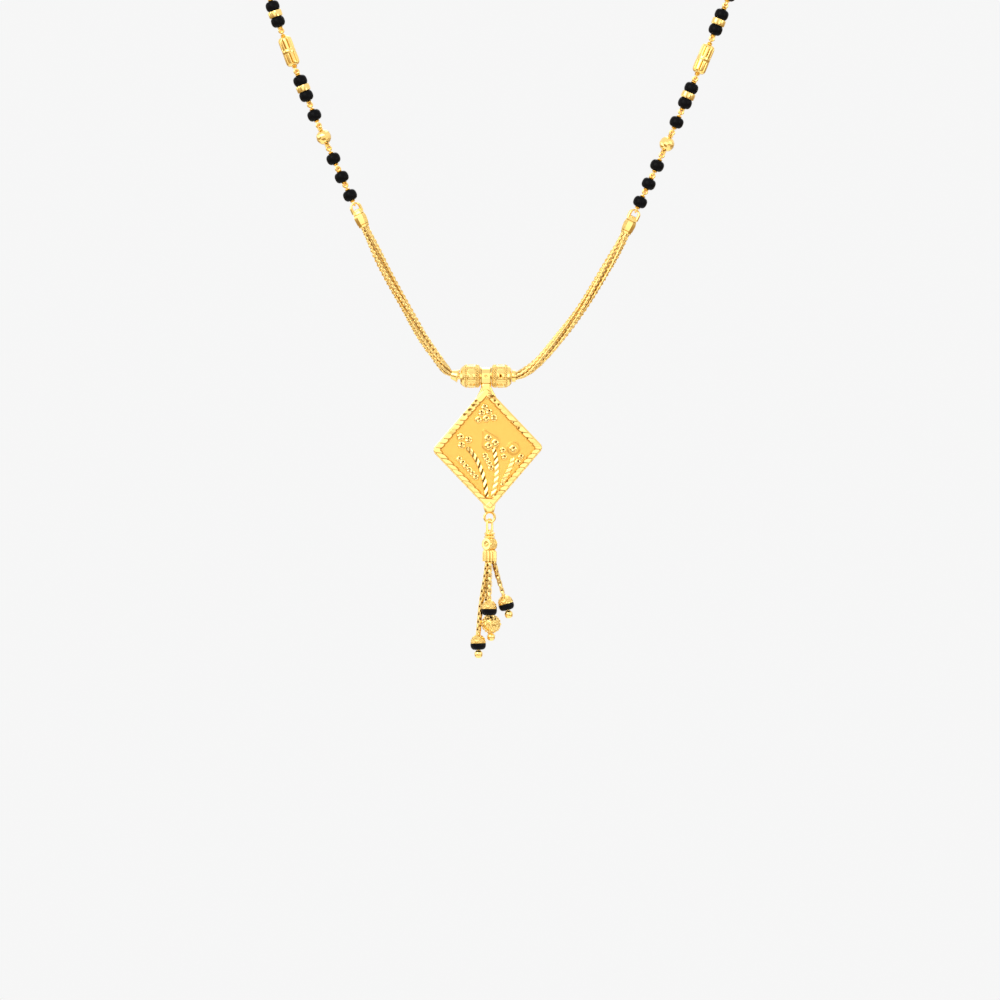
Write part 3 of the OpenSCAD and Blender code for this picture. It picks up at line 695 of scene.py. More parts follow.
class MANGALSUTRA_OT_strings(bpy.types.Operator):
    """Threads the black beads, spacers, cut balls and fluted tubes on their eye pins"""
    bl_idname = "mangalsutra.strings"
    bl_label = "Bead strings"

    def execute(self, context):
        s = in_mm(context.scene.mangalsutra_strings)
        shapes = [("glass_beads", "black_beads", glass_bead(s), "black_glass", 60),
                  ("cut_spacers", "spacers", cut_spacer(s), "polished_gold", 20),
                  ("cut_balls", "gold_balls", cut_ball(s.ball_width), "polished_gold", 10),
                  ("cut_tubes", "fluted_tubes", fluted_tube(s), "polished_gold", 40)]
        for side in ("left", "right"):
            pins = pins_of(side)
            for name, node, shape, material, crease in shapes:
                threaded = copies(shape, *carried(f"{side}_{node}", pins))
                piece(f"{side}_{name}", threaded, material, "necklace", [f"{side}_{node}"], crease)
            piece(f"{side}_wire_pins", eye_pins(s, pins), "polished_gold", "necklace", [f"{side}_eye_pins"])
        return {"FINISHED"}


def clasp_barrel(s, half):
    """Clasp along X that reaches by half to either side: a barrel, whose radius falls as the root of
    1 - share^6 to its ends, with a knurled grip between two seams, and an eye on a stub at each end."""
    end = half - 2 * (s.eye + s.eye_wire) - 0.1
    reach = half - s.eye - s.eye_wire
    end_radius, belly, knurls, knurl, seam, seam_place = 0.25, 1.1, 20, 0.07, 0.1, 0.75
    x = np.linspace(-end, end, 81)
    round_end = np.sqrt(1 - np.clip(np.abs(x) / end, 0, 1) ** 6)

    def grip(x, around, r):
        cut = scoop(around * knurls / TURN) * ease((0.5 - np.abs(x)) / 0.1)
        return r - knurl * cut - seam * np.exp(-((np.abs(x) - seam_place) / 0.06) ** 2)
    parts = [lathe(np.stack([x, end_radius + (belly - end_radius) * round_end], -1), 6 * knurls, grip)]
    stub = lathe([[end - 0.2, 0.2], [reach - s.eye + 0.05, 0.15]], 12)
    for side in (-1, 1):
        parts.append(moved(ring(s.eye, s.eye_wire, 22, 10), (side * reach, 0, 0)))
        parts.append(stub if side > 0 else turned(stub, 180, "Z"))
    return join(*parts)


class MANGALSUTRA_OT_clasp(bpy.types.Operator):
    """Makes the barrel clasp at the nape, with a grip ring and an eye at each end"""
    bl_idname = "mangalsutra.clasp"
    bl_label = "Clasp"

    def execute(self, context):
        s = in_mm(context.scene.mangalsutra_strings)
        centre, axes, low, high = own_frame(loose_solids("clasp")[0])
        clasp = copies(clasp_barrel(s, (high - low) / 2), [centre], [axes])
        piece("barrel_clasp", clasp, "polished_gold", "necklace", ["clasp"])
        return {"FINISHED"}


# Ferrules and chain bundles

def ferrule_frame(side):
    """Foot of a ferrule and its axes: up along it, to the back, and across."""
    centre, axes, low, high = own_frame(loose_solids(f"{side}_ferrule")[0])
    up, foot = (axes[0], low) if axes[0][2] > 0 else (-axes[0], -high)
    return centre + foot * up, np.array([up, np.cross(TO_FRONT, up), TO_FRONT])


# Columns: place along a ferrule from its foot, and radius as a share of half its width
FERRULE_ROWS = [(0.0, 0.3), (0.0, 0.72), (0.1, 0.8), (0.38, 0.81), (0.45, 0.76), (0.53, 0.87), (1.75, 0.96),
                (2.35, 0.86), (2.42, 0.78), (2.5, 0.84), (3.0, 0.66)]


def ferrule(b):
    """Ferrule: eight flats between a rim and a shoulder, and a loop on two stout arms."""
    w, n = b.ferrule_width / 2, b.ferrule_length
    flats, thin, stout = 8, 0.17, 0.12
    rows = [[x, share * w] for x, share in FERRULE_ROWS] + [[n, 0.5 * w], [n, 0.1]]
    body = turned(lathe(rows, flats), 180 / flats, "X")
    a = np.linspace(-90, 90, 25) * np.pi / 180
    bow = np.stack([n + b.loop_reach + b.loop * (np.cos(a) - 1), b.loop * np.sin(a), 0 * a], -1)
    legs = [[n - 0.3, -b.loop, 0], [n + 0.4 * b.loop, -b.loop, 0]]
    path = np.concatenate([legs, bow, np.array(legs[::-1]) * [1, -1, 1]])
    share = np.abs(np.linspace(-1, 1, len(path)))
    loop = tube(path, thin + stout * ease((share - 0.3) / 0.5), 12, across=(0, 0, 1))
    shoulder = [[n - 0.5, -b.loop, 0], [n + 0.05, -0.3, 0], [n + 0.05, 0.3, 0], [n - 0.5, b.loop, 0]]
    return join(body, loop, tube(shoulder, 0.3, 10, across=(0, 0, 1)))


class MANGALSUTRA_OT_ferrules(bpy.types.Operator):
    """Makes the ferrule with its loop at the upper end of each chain bundle"""
    bl_idname = "mangalsutra.ferrules"
    bl_label = "Ferrules"

    def execute(self, context):
        b = in_mm(context.scene.mangalsutra_bundles)
        for side in ("left", "right"):
            foot, axes = ferrule_frame(side)
            piece(f"{side}_cut_ferrule", copies(ferrule(b), [foot], [axes]), "polished_gold", "necklace",
                  [f"{side}_ferrule"], crease=20)
        return {"FINISHED"}


# Columns by side: start of a bundle from the bail's axis, the way to its first shaping point, how far the
# last one lies below its top, and how narrow it is gathered at its start and at its top
BUNDLES = {"left": ((-5.99, 0, 0.247), (-3.2, 0, 1.6), 12, (0.45, 0.78)),
           "right": ((5.05, 0, 0), (4.6, 0, 0), 10.5, (0.72, 0.88))}
# Shares of half the width of a bundle: radius of its core, and distance of each strand from its middle
CORE, STRAND_AWAY = 0.46, 0.61
# Turns that the strands wind along the bundle, how far they sway from that in radians, radius of a
# strand's own core, and of its links to the middle of their wire
TWIST, SWAY, STRAND_CORE, FINE_LINK = 0.6, 0.2, 0.25, 0.31
# Strength of the painted shade on the bundle's core and on the strands' own cores, which show between the
# links
CORE_SHADE, STRAND_SHADE = 0.7, 0.3


def bundle_route(side):
    """Four points of a bundle's curve: from the cap or collar of the middle group into its ferrule."""
    foot, axes = ferrule_frame(side)
    top, up = foot + 0.6 * axes[0] - BAIL, axes[0]
    start, lead, last, _ = BUNDLES[side]
    return start, np.add(start, lead), top - last * up, top


def fine_chain(path, size, b, first_turn):
    """Fine chain along a path, as wide as size says: oval links at equal steps, each turned by about a
    quarter from the last."""
    centres = evenly(path, b.pitch)
    k = np.arange(len(centres))
    axes = link_axes(centres, first_turn + TURN / 4 * (k % 2) + 0.12 * np.sin(1.7 * k))
    scale = np.interp(np.linspace(0, 1, len(k)), np.linspace(0, 1, len(size)), size)
    axes[:, 1:] *= scale[:, None, None]
    return copies(ring(FINE_LINK, b.link_wire, 12, 6, stretch=1.15), centres, axes)


def chain_bundle(b, side):
    """Bundle: fine chains on cores of their own, wound round one more core along one curve and gathered
    at either end. Also marks the cores' points with painted shade, for the shade between the links."""
    t = np.linspace(0, 1, 160)
    middle = bezier(bundle_route(side), t)
    across = np.cross(unit(np.gradient(middle, axis=0)), TO_FRONT)
    low, high = BUNDLES[side][3]
    gather = np.minimum(low + (1 - low) * ease(t / 0.12), high + (1 - high) * ease((1 - t) / 0.2))
    away = (STRAND_AWAY * b.width / 2 * gather)[:, None]
    cores, strands = [tube(middle, CORE * b.width / 2 * gather, 10)], []
    for k in range(b.strands):
        drift = SWAY * np.sin(TURN * (1.3 * t + k * 0.37)) * ease(t / 0.1) * ease((1 - t) / 0.1)
        a = (TURN * (k / b.strands - TWIST * t) + drift)[:, None]
        path = middle + away * (np.cos(a) * TO_FRONT + np.sin(a) * across)
        cores.append(tube(path, STRAND_CORE * gather, 8))
        strands.append(fine_chain(path, gather, b, 0.6 + 0.9 * k))
    shades = [CORE_SHADE] + [STRAND_SHADE] * b.strands + [0.0] * b.strands
    deep = [np.full(len(points), shade) for (points, _), shade in zip(cores + strands, shades)]
    return moved(join(*cores, *strands), BAIL), np.concatenate(deep)


class MANGALSUTRA_OT_bundles(bpy.types.Operator):
    """Winds the fine chains of each bundle from the middle group up to its ferrule"""
    bl_idname = "mangalsutra.bundles"
    bl_label = "Chain bundles"

    def execute(self, context):
        b = in_mm(context.scene.mangalsutra_bundles)
        for side in ("left", "right"):
            bundle, deep = chain_bundle(b, side)
            # The cores carry painted shade where they show between the links
            piece(f"{side}_fine_chains", bundle, "fine_chain_gold", "necklace", [f"{side}_chain_bundle"],
                  crease=60, hollow=deep)
        return {"FINISHED"}


# Middle group

# Angle round a barrel that faces the front, and the middle of its belt along it
FRONT, BELT = np.pi, 1.55
# Columns: place along a barrel from its inner end, and radius as a share of half its width
BARREL_ROWS = [(0, 0.84), (0.1, 0.9), (0.3, 0.935), (0.6, 0.95), (1.0, 0.955), (2.1, 0.955), (2.5, 0.945),
               (2.8, 0.91), (3.15, 0.82)]
# Columns: places of rows of grains, radius there as a share, how many fewer grains, their size, their height
GRAIN_ROWS = [((0.22, 0.45, 0.68), 0.9, 0, 0.13, 0.9), ((2.42,), 0.9, 6, 0.15, 1.0),
              ((2.68,), 0.8, 0, 0.11, 0.7)]


def barrel(m, pitted):
    """Barrel along X from its inner end, as a radius over length and angle: rows of grains, a belt of
    cut squares, a bevel, and for the right one a pair of small pits in a square."""
    r, n = m.barrel_width / 2, m.barrel_length
    x = np.linspace(-0.08, n, 121)
    outline = r * np.interp(x, *np.transpose([*BARREL_ROWS, (n, 0.64)]))
    profile = np.stack([np.r_[x[0], x, n], np.r_[0.2, outline, 0.2]], -1)
    long, high, step, dip, pit_from_middle, pit_size, pit_depth = 0.6, 0.62, 0.1, 0.05, 0.16, 0.14, 0.5

    def relief(x, around, r_here):
        column = ((around - FRONT) * m.squares / TURN + 0.5) % 1 - 0.5
        away = np.maximum(np.abs(column) * TURN * r / m.squares / long, np.abs(x - BELT) / high)
        rise = step * ease((1 - away) / 0.35) - dip * ease((0.42 - away) / 0.15)
        for rows, share, fewer, size, height in GRAIN_ROWS:
            grains = pebbles(x, around, share * r, rows, m.grains - fewer, size)
            rise = np.maximum(rise, height * grains)
        across, pit = ((around - FRONT + np.pi) % TURN - np.pi) * r, 0
        for z in (-pit_from_middle, pit_from_middle) if pitted else ():
            pit = pit + pit_depth * np.exp(-((across - z) ** 2 + (x - BELT) ** 2) / pit_size ** 2)
        flank = np.where((x > -0.08) & (x < n), 1.0, 0.0)
        return np.where(r_here < 0.5, r_here, r_here + flank * (rise - pit))
    return lathe(profile, 300, relief)


# Columns: place along the bail from its end, and how far it stands out from half its width
BAIL_RIM = [(0, -0.12), (0.03, 0.02), (0.1, 0.05), (0.17, 0.02), (0.21, -0.08), (0.26, -0.01)]
BAIL_BORE = 0.72
# Columns: place along the pip in front of the bail, outwards, and its radius
PIP_ROWS = [(-0.1, 0.3), (0.08, 0.28), (0.16, 0.2), (0.12, 0.12), (0.18, 0.05)]


def bail(m):
    """Bail: a bored tube with a rim at each end, flats between them and a pip in front."""
    half, r = m.bail_length / 2, m.bail_width / 2
    number_of_flats, flat_depth = 10, 0.045
    rim = [[-half + x, r + rise] for x, rise in BAIL_RIM]
    rows = rim + [[-x, y] for x, y in rim[::-1]] + [[half, BAIL_BORE], [-half, BAIL_BORE]]

    def flats(x, around, r_here):
        belt = np.where((np.abs(x) < half - 0.2) & (r_here > 1), 1.0, 0.0)
        return r_here * (1 - flat_depth * belt * scoop(around * number_of_flats / TURN + 0.5))
    pip = turned(lathe(PIP_ROWS, 16), -90, "Z")
    return join(lathe(rows, 12 * number_of_flats, flats, closed=True), moved(pip, (0, -0.97 * r, 0)))


# Lean of the cap in degrees, and the ends of the rod, the cap and the collar from the bail's axis
CAP_LEAN = 13
ROD_LEFT, ROD_RIGHT, ROD_RADIUS = -5.2, 5.0, 0.6
CAP_START, END_RING_START = -4.92, 4.7
# Columns: place along the cap or the collar, outwards, and radius
CAP_ROWS = [(0, 0.2), (0, 1.1), (0.06, 1.17), (0.2, 1.17), (0.28, 1.06), (0.36, 1.04), (1.2, 0.79),
            (1.35, 0.73), (1.35, 0.62), (0.95, 0.56), (0.95, 0.1)]
END_RING_ROWS = [(-0.04, 0.2), (-0.04, 1.0), (0.04, 1.06), (0.55, 1.06), (0.65, 1.0), (0.65, 0.9),
                 (0.3, 0.86), (0.3, 0.1)]


def rod_ends():
    """Rod through the barrels and the bail, with a cap that leans up to the left bundle and a short
    collar toward the right one, both hollow at their mouths."""
    cap = turned(turned(lathe(CAP_ROWS, 64), 180, "Z"), CAP_LEAN, "Y")
    rod = lathe([(ROD_LEFT, ROD_RADIUS), (ROD_RIGHT, ROD_RADIUS)], 24)
    end_ring = lathe(END_RING_ROWS, 64)
    return join(moved(cap, (CAP_START, 0, 0)), rod, moved(end_ring, (END_RING_START, 0, 0)))


class MANGALSUTRA_OT_barrels(bpy.types.Operator):
    """Makes the barrels beside the bail and the rod that carries them"""
    bl_idname = "mangalsutra.barrels"
    bl_label = "Barrels"

    def execute(self, context):
        m = in_mm(context.scene.mangalsutra_middle)
        for side, sign in (("left", -1), ("right", 1)):
            low, high = (np.array(corner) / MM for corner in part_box(f"{side}_barrel"))
            inner = np.array([high[0] if sign < 0 else low[0], BAIL[1], BAIL[2]])
            axes = np.array([[sign, 0, 0], [0, sign, 0], [0, 0, 1]])
            piece(f"{side}_cut_barrel", copies(barrel(m, sign > 0), [inner], [axes]), "polished_gold",
                  "necklace", [f"{side}_barrel"])
        piece("rod_cap_and_collar", moved(rod_ends(), BAIL), "polished_gold", "necklace", ["carrier_rod"],
              crease=50)
        return {"FINISHED"}


# Pendant

# Tilt of the hanging pendant in degrees, lean of the border's cuts, depth of the lower ring below the
# bail's axis, and the height below which the lower corner is filled
HANG_TILT = 1.5
CUT_LEAN = math.radians(-8)
RING_DROP = 25.4
APEX_FILL = -8.9
# Cells of the plate's grid along each side, and how far bosses and stems reach into the plate
PLATE_CELLS, SUNK = 236, 0.1
# Start of the low bud, the way to its tip, its radius at the start and how much less it is at the tip
BUD, BUD_WAY, BUD_RADIUS, BUD_TAPER = (0.45, 1.2), (-0.95, 1.9), 1.6, 1.3
DISC_X, DISC_RADIUS = 4.6, 1.08
# Place and half sizes of the lozenge in the lower corner
LOZENGE_X, LOZENGE_Y, LOZENGE_WIDE, LOZENGE_HIGH = 0.16, -10.2, 0.75, 0.7
# Columns: x and y of the first boss, x and y of the last, how many, radius, height of the foot
BOSS_ROWS = [
    (-0.35, 7.5, -0.35, 7.5, 1, 0.66, 0),
    (-0.95, 6.5, 0.42, 6.65, 2, 0.66, 0),
    (-1.55, 5.3, 1.25, 5.6, 3, 0.66, 0),
    (-4.86, 2.3, -3.41, 1.75, 2, 0.7, 0),
    (-4.71, 0.83, -4.71, 0.83, 1, 0.7, 0),
    (0.13, 1.93, 1.39, 1.05, 2, 0.72, 0.13),
    (0.13, 0.52, 0.13, 0.52, 1, 0.72, 0.13),
    (4.55, -0.08, 4.55, -0.08, 1, 0.72, 0.13),
    (-5.16, -1.7, -2.26, -5, 6, 0.56, 0),
    (-0.5, -1.2, 0.48, -3.42, 4, 0.58, 0),
    (2.67, -0.3, 2.87, -1.45, 2, 0.58, 0),
    (5.95, -1.55, 5.35, -2.5, 2, 0.56, 0),
    (2.5, -6.3, 2.5, -6.3, 1, 0.52, 0)]
# Columns: start, two shaping points and end of each stem, its number of cuts, and how many of its cuts have
# the darkest painted shade
STEMS = [
    ((-3.8, 0.4, 0), (-2, -1.2, 0), (-0.55, -4.6, 0), (-0.45, -8.6, 0), 8, 9),
    ((1, 0.2, 0), (1.75, -2.6, 0), (1.7, -5.4, 0), (0.55, -8.6, 0), 8, 3.6),
    ((4.5, -1.7, 0), (4.1, -3.2, 0), (3.2, -5, 0), (2.4, -6.2, 0), 5, 0)]
# Columns: place of each deep slit in the border, its half length and its half height
SLITS = [
    (-1.9, 8.68, 0.24, 0.17), (-2.35, 7.93, 0.4, 0.18), (-3.05, 7.13, 0.4, 0.18), (-4.0, 6.3, 0.3, 0.17),
    (1.05, 9.45, 0.55, 0.24), (1.5, 8.65, 0.2, 0.17), (2.15, 7.9, 0.17, 0.17), (4.75, 4.6, 0.12, 0.12),
    (5.7, 3.6, 0.17, 0.15), (6.3, 2.7, 0.12, 0.12), (7.2, 1.7, 0.16, 0.14)]


def on_pendant(p, solid):
    """From the plate's plane, with its front towards +Z, to the row frame."""
    x, y, z = solid[0].T
    points = np.stack([x, -p.thickness / 2 - z, y - p.drop], -1)
    return hung(outward(points, solid[1]))


def hung(solid):
    """A solid that hangs from the bail's axis, tilted as the pendant is."""
    return moved(turned(solid, -HANG_TILT, "Y"), BAIL)


def diamond(p, steps):
    """Points of the diamond on a square grid, with those outside its round corners drawn onto them,
    and the distance of each from the straight edges."""
    s, t = np.meshgrid(steps, steps, indexing="ij")
    x, y = (s - t) * p.half_width, (s + t - 1) * p.half_height
    edge = math.hypot(p.half_width, p.half_height)
    span = 2 * p.half_width * p.half_height / edge
    inside = span * np.minimum(np.minimum(s, 1 - s), np.minimum(t, 1 - t))
    lean = np.array([p.half_width, p.half_height]) / edge
    for sign, axis in ((1, 0), (-1, 0), (1, 1), (-1, 1)):
        half = p.half_width if axis == 0 else p.half_height
        tip = half - p.corner / lean[1 - axis]
        along, across = (sign * x, y) if axis == 0 else (sign * y, x)
        out = np.stack([along - tip, across])
        away = np.hypot(*out)
        in_cone = (out[0] * lean[axis] - np.abs(out[1]) * lean[1 - axis] > 0) & (away > p.corner)
        share = np.where(in_cone, p.corner / np.maximum(away, 1e-6), 1)
        along, across = tip + out[0] * share, out[1] * share
        x, y = (sign * along, across) if axis == 0 else (across, sign * along)
    return x, y, inside


def border_top(p, x, y, inside):
    """Height of the border: a row of nearly level cushions that lean a little, with grooves between them
    that deepen as the fourth power of the way from a cushion's middle, a slope down to the outline, and
    the lozenge in the lower corner. Also gives the grooves, from 0 to 1."""
    rng = np.random.default_rng(SEED)
    phase = (y * math.cos(CUT_LEAN) - x * math.sin(CUT_LEAN)) / p.pitch
    side, number = 2 * (x < 0) + (y < 0), np.floor(phase).astype(int) % 64
    leaning = rng.uniform(-1, 1, (4, 64))[side, number]
    deeper = rng.uniform(0.7, 1.1, (4, 64))[side, number]
    plain = np.maximum(ease((y - 8.6) / 0.6) * (x < 0.3), ease((-9.0 - y) / 0.4))
    groove = (1 - scoop(phase)) ** 2 * (1 - plain)
    top = p.border_high - (p.border_high - p.border_low) * groove * deeper
    top = top + 0.1 * leaning * (phase % 1 - 0.5) * (1 - groove) * (1 - plain)
    lozenge = 1 - np.abs(x - LOZENGE_X) / LOZENGE_WIDE - np.abs(y - LOZENGE_Y) / LOZENGE_HIGH
    return top - 0.14 * ease((0.25 - inside) / 0.25) + 0.12 * ease(lozenge / 0.25), groove


def low_forms(x, y):
    """Height of the low bud and disc on the field, each with a rib round its edge, and the painted shade on
    the field beside them. The bud is a round rod that narrows from its start to its tip."""
    (x_bud, y_bud), (x_way, y_way) = BUD, BUD_WAY
    share = np.clip(((x - x_bud) * x_way + (y - y_bud) * y_way) / (x_way ** 2 + y_way ** 2), 0, 1)
    bud = np.hypot(x - x_bud - x_way * share, y - y_bud - y_way * share) - BUD_RADIUS + BUD_TAPER * share
    away = np.minimum(bud, np.hypot(x - DISC_X, y) - DISC_RADIUS)
    height = 0.14 * ease(-away / 0.3 + 0.5) + 0.035 * np.exp(-(away / 0.12) ** 2)
    return height, 0.12 * np.exp(-(away - 0.15) ** 2 / 0.012)


def plate(p):
    """Plate as a height over the diamond: satin field, border cut to a row of cushions with a scalloped
    inner edge and a few deep slits, low forms, and the filled lower corner. Its edge and back close it.
    Also gives its marks: painted shade at the border's foot, beside the low forms and in the slits, and where
    it is cut bright."""
    x, y, inside = diamond(p, np.linspace(0, 1, PLATE_CELLS + 1))
    top, groove = border_top(p, x, y, inside)
    low, shade = low_forms(x, y)
    # foot_shade is painted shade at the foot of the border's inner edge
    scallop, slit_depth, foot_shade = 0.22, 0.2, 0.22
    inner_edge = p.border + 0.08 - scallop * groove
    corner_fill = ease((APEX_FILL - y) / 0.2 + 0.5)
    wall = np.maximum(ease((inner_edge - inside) / 0.16 + 0.5), corner_fill)
    slit_x, slit_y, slit_long, slit_high = np.array(SLITS).T[:, :, None, None]
    slit = np.exp(-(((x - slit_x) / slit_long) ** 2 + ((y - slit_y) / slit_high) ** 2) ** 2).max(0)
    foot = np.exp(-((inside - inner_edge - 0.08) / 0.09) ** 2) * (1 - corner_fill)
    # Painted shade: at the border's foot, beside the low forms and in the slits
    hollow = np.clip(foot_shade * foot + shade + slit, 0, 1)
    points, quads = grid(np.stack([x, y, np.maximum(wall * top - slit_depth * slit, low)], -1))

    # Columns: how much the outline is drawn in, and its height, for each ring down to the back
    back, bevel = -p.thickness, 0.12
    levels = [(1.0, -bevel), (1.0, back + bevel), (0.985, back), (0.965, back)]
    edge = outline_numbers(PLATE_CELLS + 1)
    rings = [points[edge] * [share, share, 0] + [0, 0, level] for share, level in levels]
    added = len(levels) * len(edge)
    skirt = np.concatenate([edge, len(points) + np.arange(added)]).reshape(-1, len(edge))
    beside = np.roll(skirt, -1, 1)
    walls = np.stack([skirt[:-1], skirt[1:], beside[1:], beside[:-1]], -1).reshape(-1, 4)
    floor = skirt[-1][ladder(len(edge))][:, ::-1]
    marks = {"hollow": np.r_[hollow.ravel(), np.zeros(added)], "cut": np.r_[wall.ravel(), np.ones(added)]}
    return (np.concatenate([points, *rings]), np.concatenate([quads, walls, floor])), marks


def outline_numbers(n):
    """Numbers of the points round the edge of an n by n grid, in order."""
    side = np.arange(n - 1)
    return np.concatenate([side * n, (n - 1) * n + side, (n - 1 - side) * n + n - 1, n - 1 - side])


def boss(r):
    """Four-petal boss: a low cushion with four grooves and a pit beside its middle, as a height over a
    disc. Also marks painted shade in the pit."""
    height, pit_x, pit_y, pit_size, pit_depth = 0.3, 0.22 * r, 0.24 * r, 0.22 * r, 0.2
    share = np.linspace(1.0, 0.04, 14)[:, None]
    a = angles(32)[None, :]
    petal = 0.5 + 0.5 * np.cos(4 * a)
    reach = r * share * (0.9 + 0.1 * petal)
    x, y = reach * np.cos(a), reach * np.sin(a)
    rise = height * np.sqrt(1 - (0.99 * share) ** 4) * (0.8 + 0.2 * petal)
    pit = np.exp(-((x - pit_x) ** 2 + (y - pit_y) ** 2) / pit_size ** 2)
    top = np.stack([x, y, rise - pit_depth * pit], -1)
    foot = top[:1] * [1, 1, 0] - [0, 0, SUNK]
    # Painted shade in the pit; none on the foot
    dark = np.concatenate([0 * pit[0], ease((pit - 0.3) / 0.3).ravel()])
    return capped(np.concatenate([foot, top])), dark


def bosses(p):
    """Every boss of the flowers, each turned a little differently, with the painted shade of their pits."""
    rng = np.random.default_rng(SEED)
    parts, darks = [], []
    for x0, y0, x1, y1, number, r, foot in BOSS_ROWS:
        origins = np.linspace((x0, y0, foot), (x1, y1, foot), number)
        a = rng.uniform(-0.5, 0.9, number)
        c, s, o = np.cos(a), np.sin(a), 0 * a
        axes = np.array([[c, s, o], [-s, c, o], [o, o, o + 1]]).transpose(2, 0, 1)
        cushion, dark = boss(r + 0.07)
        parts.append(copies(cushion, origins, axes))
        darks.append(np.tile(dark, number))
    return on_pendant(p, join(*parts)), np.concatenate(darks)


def stem(a, b, c, d, cuts, dark_cuts):
    """Stem: a low ridge along its curve, cut across by slanting facets, each a long rise and a short
    fall. Also marks the falls with painted shade."""
    along = np.linspace(0, 1, 16 * cuts + 1)
    path = bezier((a, b, c, d), along)
    beside = np.cross([0, 0, 1], unit(np.gradient(path, axis=0)))
    across = np.linspace(-1, 1, 15)[None, :]
    half_width, slant, rising, low, high = 0.5, 0.45, 0.55, 0.16, 0.2
    width = half_width * (0.6 + 0.4 * ease(along / 0.06)) * (0.8 + 0.2 * ease((1 - along) / 0.06))
    turns = along[:, None] * cuts + slant * across
    phase = turns % 1
    saw = np.where(phase < rising, phase / rising, (1 - phase) / (1 - rising))
    # Painted shade on the falls: strongest on the first dark_cuts cuts, lighter after them
    depth = 0.25 + 0.75 * ease(dark_cuts - turns)
    dark = 0.9 * depth * ease((phase - 0.58) / 0.08) * ease((0.98 - phase) / 0.06) * (np.abs(across) < 0.8)
    top = path[:, None] + across[..., None] * (width[:, None] * beside)[:, None, :]
    top[..., 2] = (low + high * saw) * (1 - across ** 8)
    foot = top[:, ::-1] * [1, 1, 0] - [0, 0, SUNK]
    return capped(np.concatenate([top, foot], 1)), np.concatenate([dark, 0 * dark], 1).ravel()


# Columns: height from the bail's axis, half width and half depth of the neck below the bail, and of the
# tab that the lower ring hangs on
NECK_ROWS = [(-1.15, 0.8, 0.45), (-1.5, 0.9, 0.52), (-2.0, 0.95, 0.52), (-2.7, 1.22, 0.5), (-3.4, 1.6, 0.46),
             (-4.2, 1.92, 0.35), (-4.6, 1.7, 0.3)]
TAB_ROWS = [(-22.7, 1.1, 0.3), (-23.2, 1.1, 0.52), (-23.7, 1.02, 0.62), (-24.2, 0.9, 0.66),
            (-24.5, 0.8, 0.62), (-24.65, 0.6, 0.4)]


def loft(rows):
    """Upright form from rows of (z, half width, half depth), with superellipse sections of power 4."""
    z, wide, deep = np.transpose(rows)[..., None]
    x, y = superellipse(angles(32), 4)
    return capped(np.stack([wide * x, deep * y, z + 0 * x], -1))


class MANGALSUTRA_OT_pendant(bpy.types.Operator):
    """Makes the diamond-shaped pendant: bail, plate, flowers, stems and lower ring"""
    bl_idname = "mangalsutra.pendant"
    bl_label = "Pendant"

    def execute(self, context):
        p = in_mm(context.scene.mangalsutra_pendant)
        m = in_mm(context.scene.mangalsutra_middle)
        face, marks = plate(p)
        piece("pendant_plate", on_pendant(p, face), "satin_gold", "pendant", ["pendant"], crease=50, **marks)
        # The bosses carry painted shade in their pits
        cushions, pits = bosses(p)
        piece("pendant_bosses", cushions, "polished_gold", "pendant", crease=45, hollow=pits)
        # The stems carry painted shade on the falls of their cuts
        stems, darks = zip(*[stem(*row) for row in STEMS])
        piece("pendant_stems", on_pendant(p, join(*stems)), "polished_gold", "pendant", crease=30,
              hollow=np.concatenate(darks))
        lower_ring = moved(turned(ring(p.ring, p.ring_wire, 40, 12), 90, "X"), (0, 0, -RING_DROP))
        carrier = join(*[hung(part) for part in (loft(NECK_ROWS), loft(TAB_ROWS), lower_ring)],
                       moved(bail(m), BAIL))
        piece("pendant_bail_and_ring", carrier, "polished_gold", "pendant", crease=28)
        return {"FINISHED"}


# Tassel

# Heights of the tassel's head are from the bail's axis, and turns are in degrees
DRUM_TURN, DRUM_HEIGHT, DRUM_RADIUS, DRUM_HALF = 47, -30.25, 1.15, 0.85
LINK_TURN, LINK_RADIUS, LINK_FOOT, LINK_ABOVE_PIVOT = 58, 0.85, -28.25, 0.66
# Columns: height and radius of the neck below the link, and of the fluted collar as a share
RIDGE_ROWS = [(-27.6, 0.2), (-27.66, 0.5), (-27.85, 0.66), (-28.12, 0.74), (-28.22, 0.92), (-28.36, 0.98),
              (-28.5, 0.9), (-28.62, 0.74), (-28.74, 0.9), (-28.88, 1.02), (-29.02, 0.96), (-29.2, 0.76),
              (-29.3, 0.84), (-29.45, 0.84), (-29.6, 0.7), (-30.2, 0.6)]
COLLAR_ROWS = [(-33.25, 0.98), (-32.8, 1.0), (-32.3, 1.0), (-31.6, 0.98), (-31.35, 0.86), (-31.25, 0.7)]
# Flutes round the collar, their depth as a share, and how far the scallops of its lip hang down
FLUTES, FLUTE_DEPTH, SCALLOP = 12, 0.14, 0.12
# Columns: place on the drum's end from its edge outwards, and radius
DRUM_END = [(0.06, 0.02), (0.08, 0.14), (0.02, 0.22), (-0.04, 0.3), (0.02, 0.4), (0.03, 0.9 * DRUM_RADIUS),
            (0, 0.97 * DRUM_RADIUS), (-0.1, DRUM_RADIUS)]
# Columns: place through a link of a box chain as a share of half its band, and reach of its side there
LINK_SECTION = [(-1, 0.93), (-0.6, 1.0), (0, 1.03), (0.6, 1.0), (1, 0.93)]
# Length of a link of a box chain as a multiple of the pitch, and size of every second one
BOX_STRETCH, BOX_SECOND = 1.95, 0.92
# Foot of a drop's pin with a knob, of one without, of the granulated ball's pin, and place of the washer
KNOB_FOOT, BARE_FOOT, GRAIN_FOOT, WASHER = -2.15, -1.42, -2.35, -1.5
PIN_RADIUS = 0.2
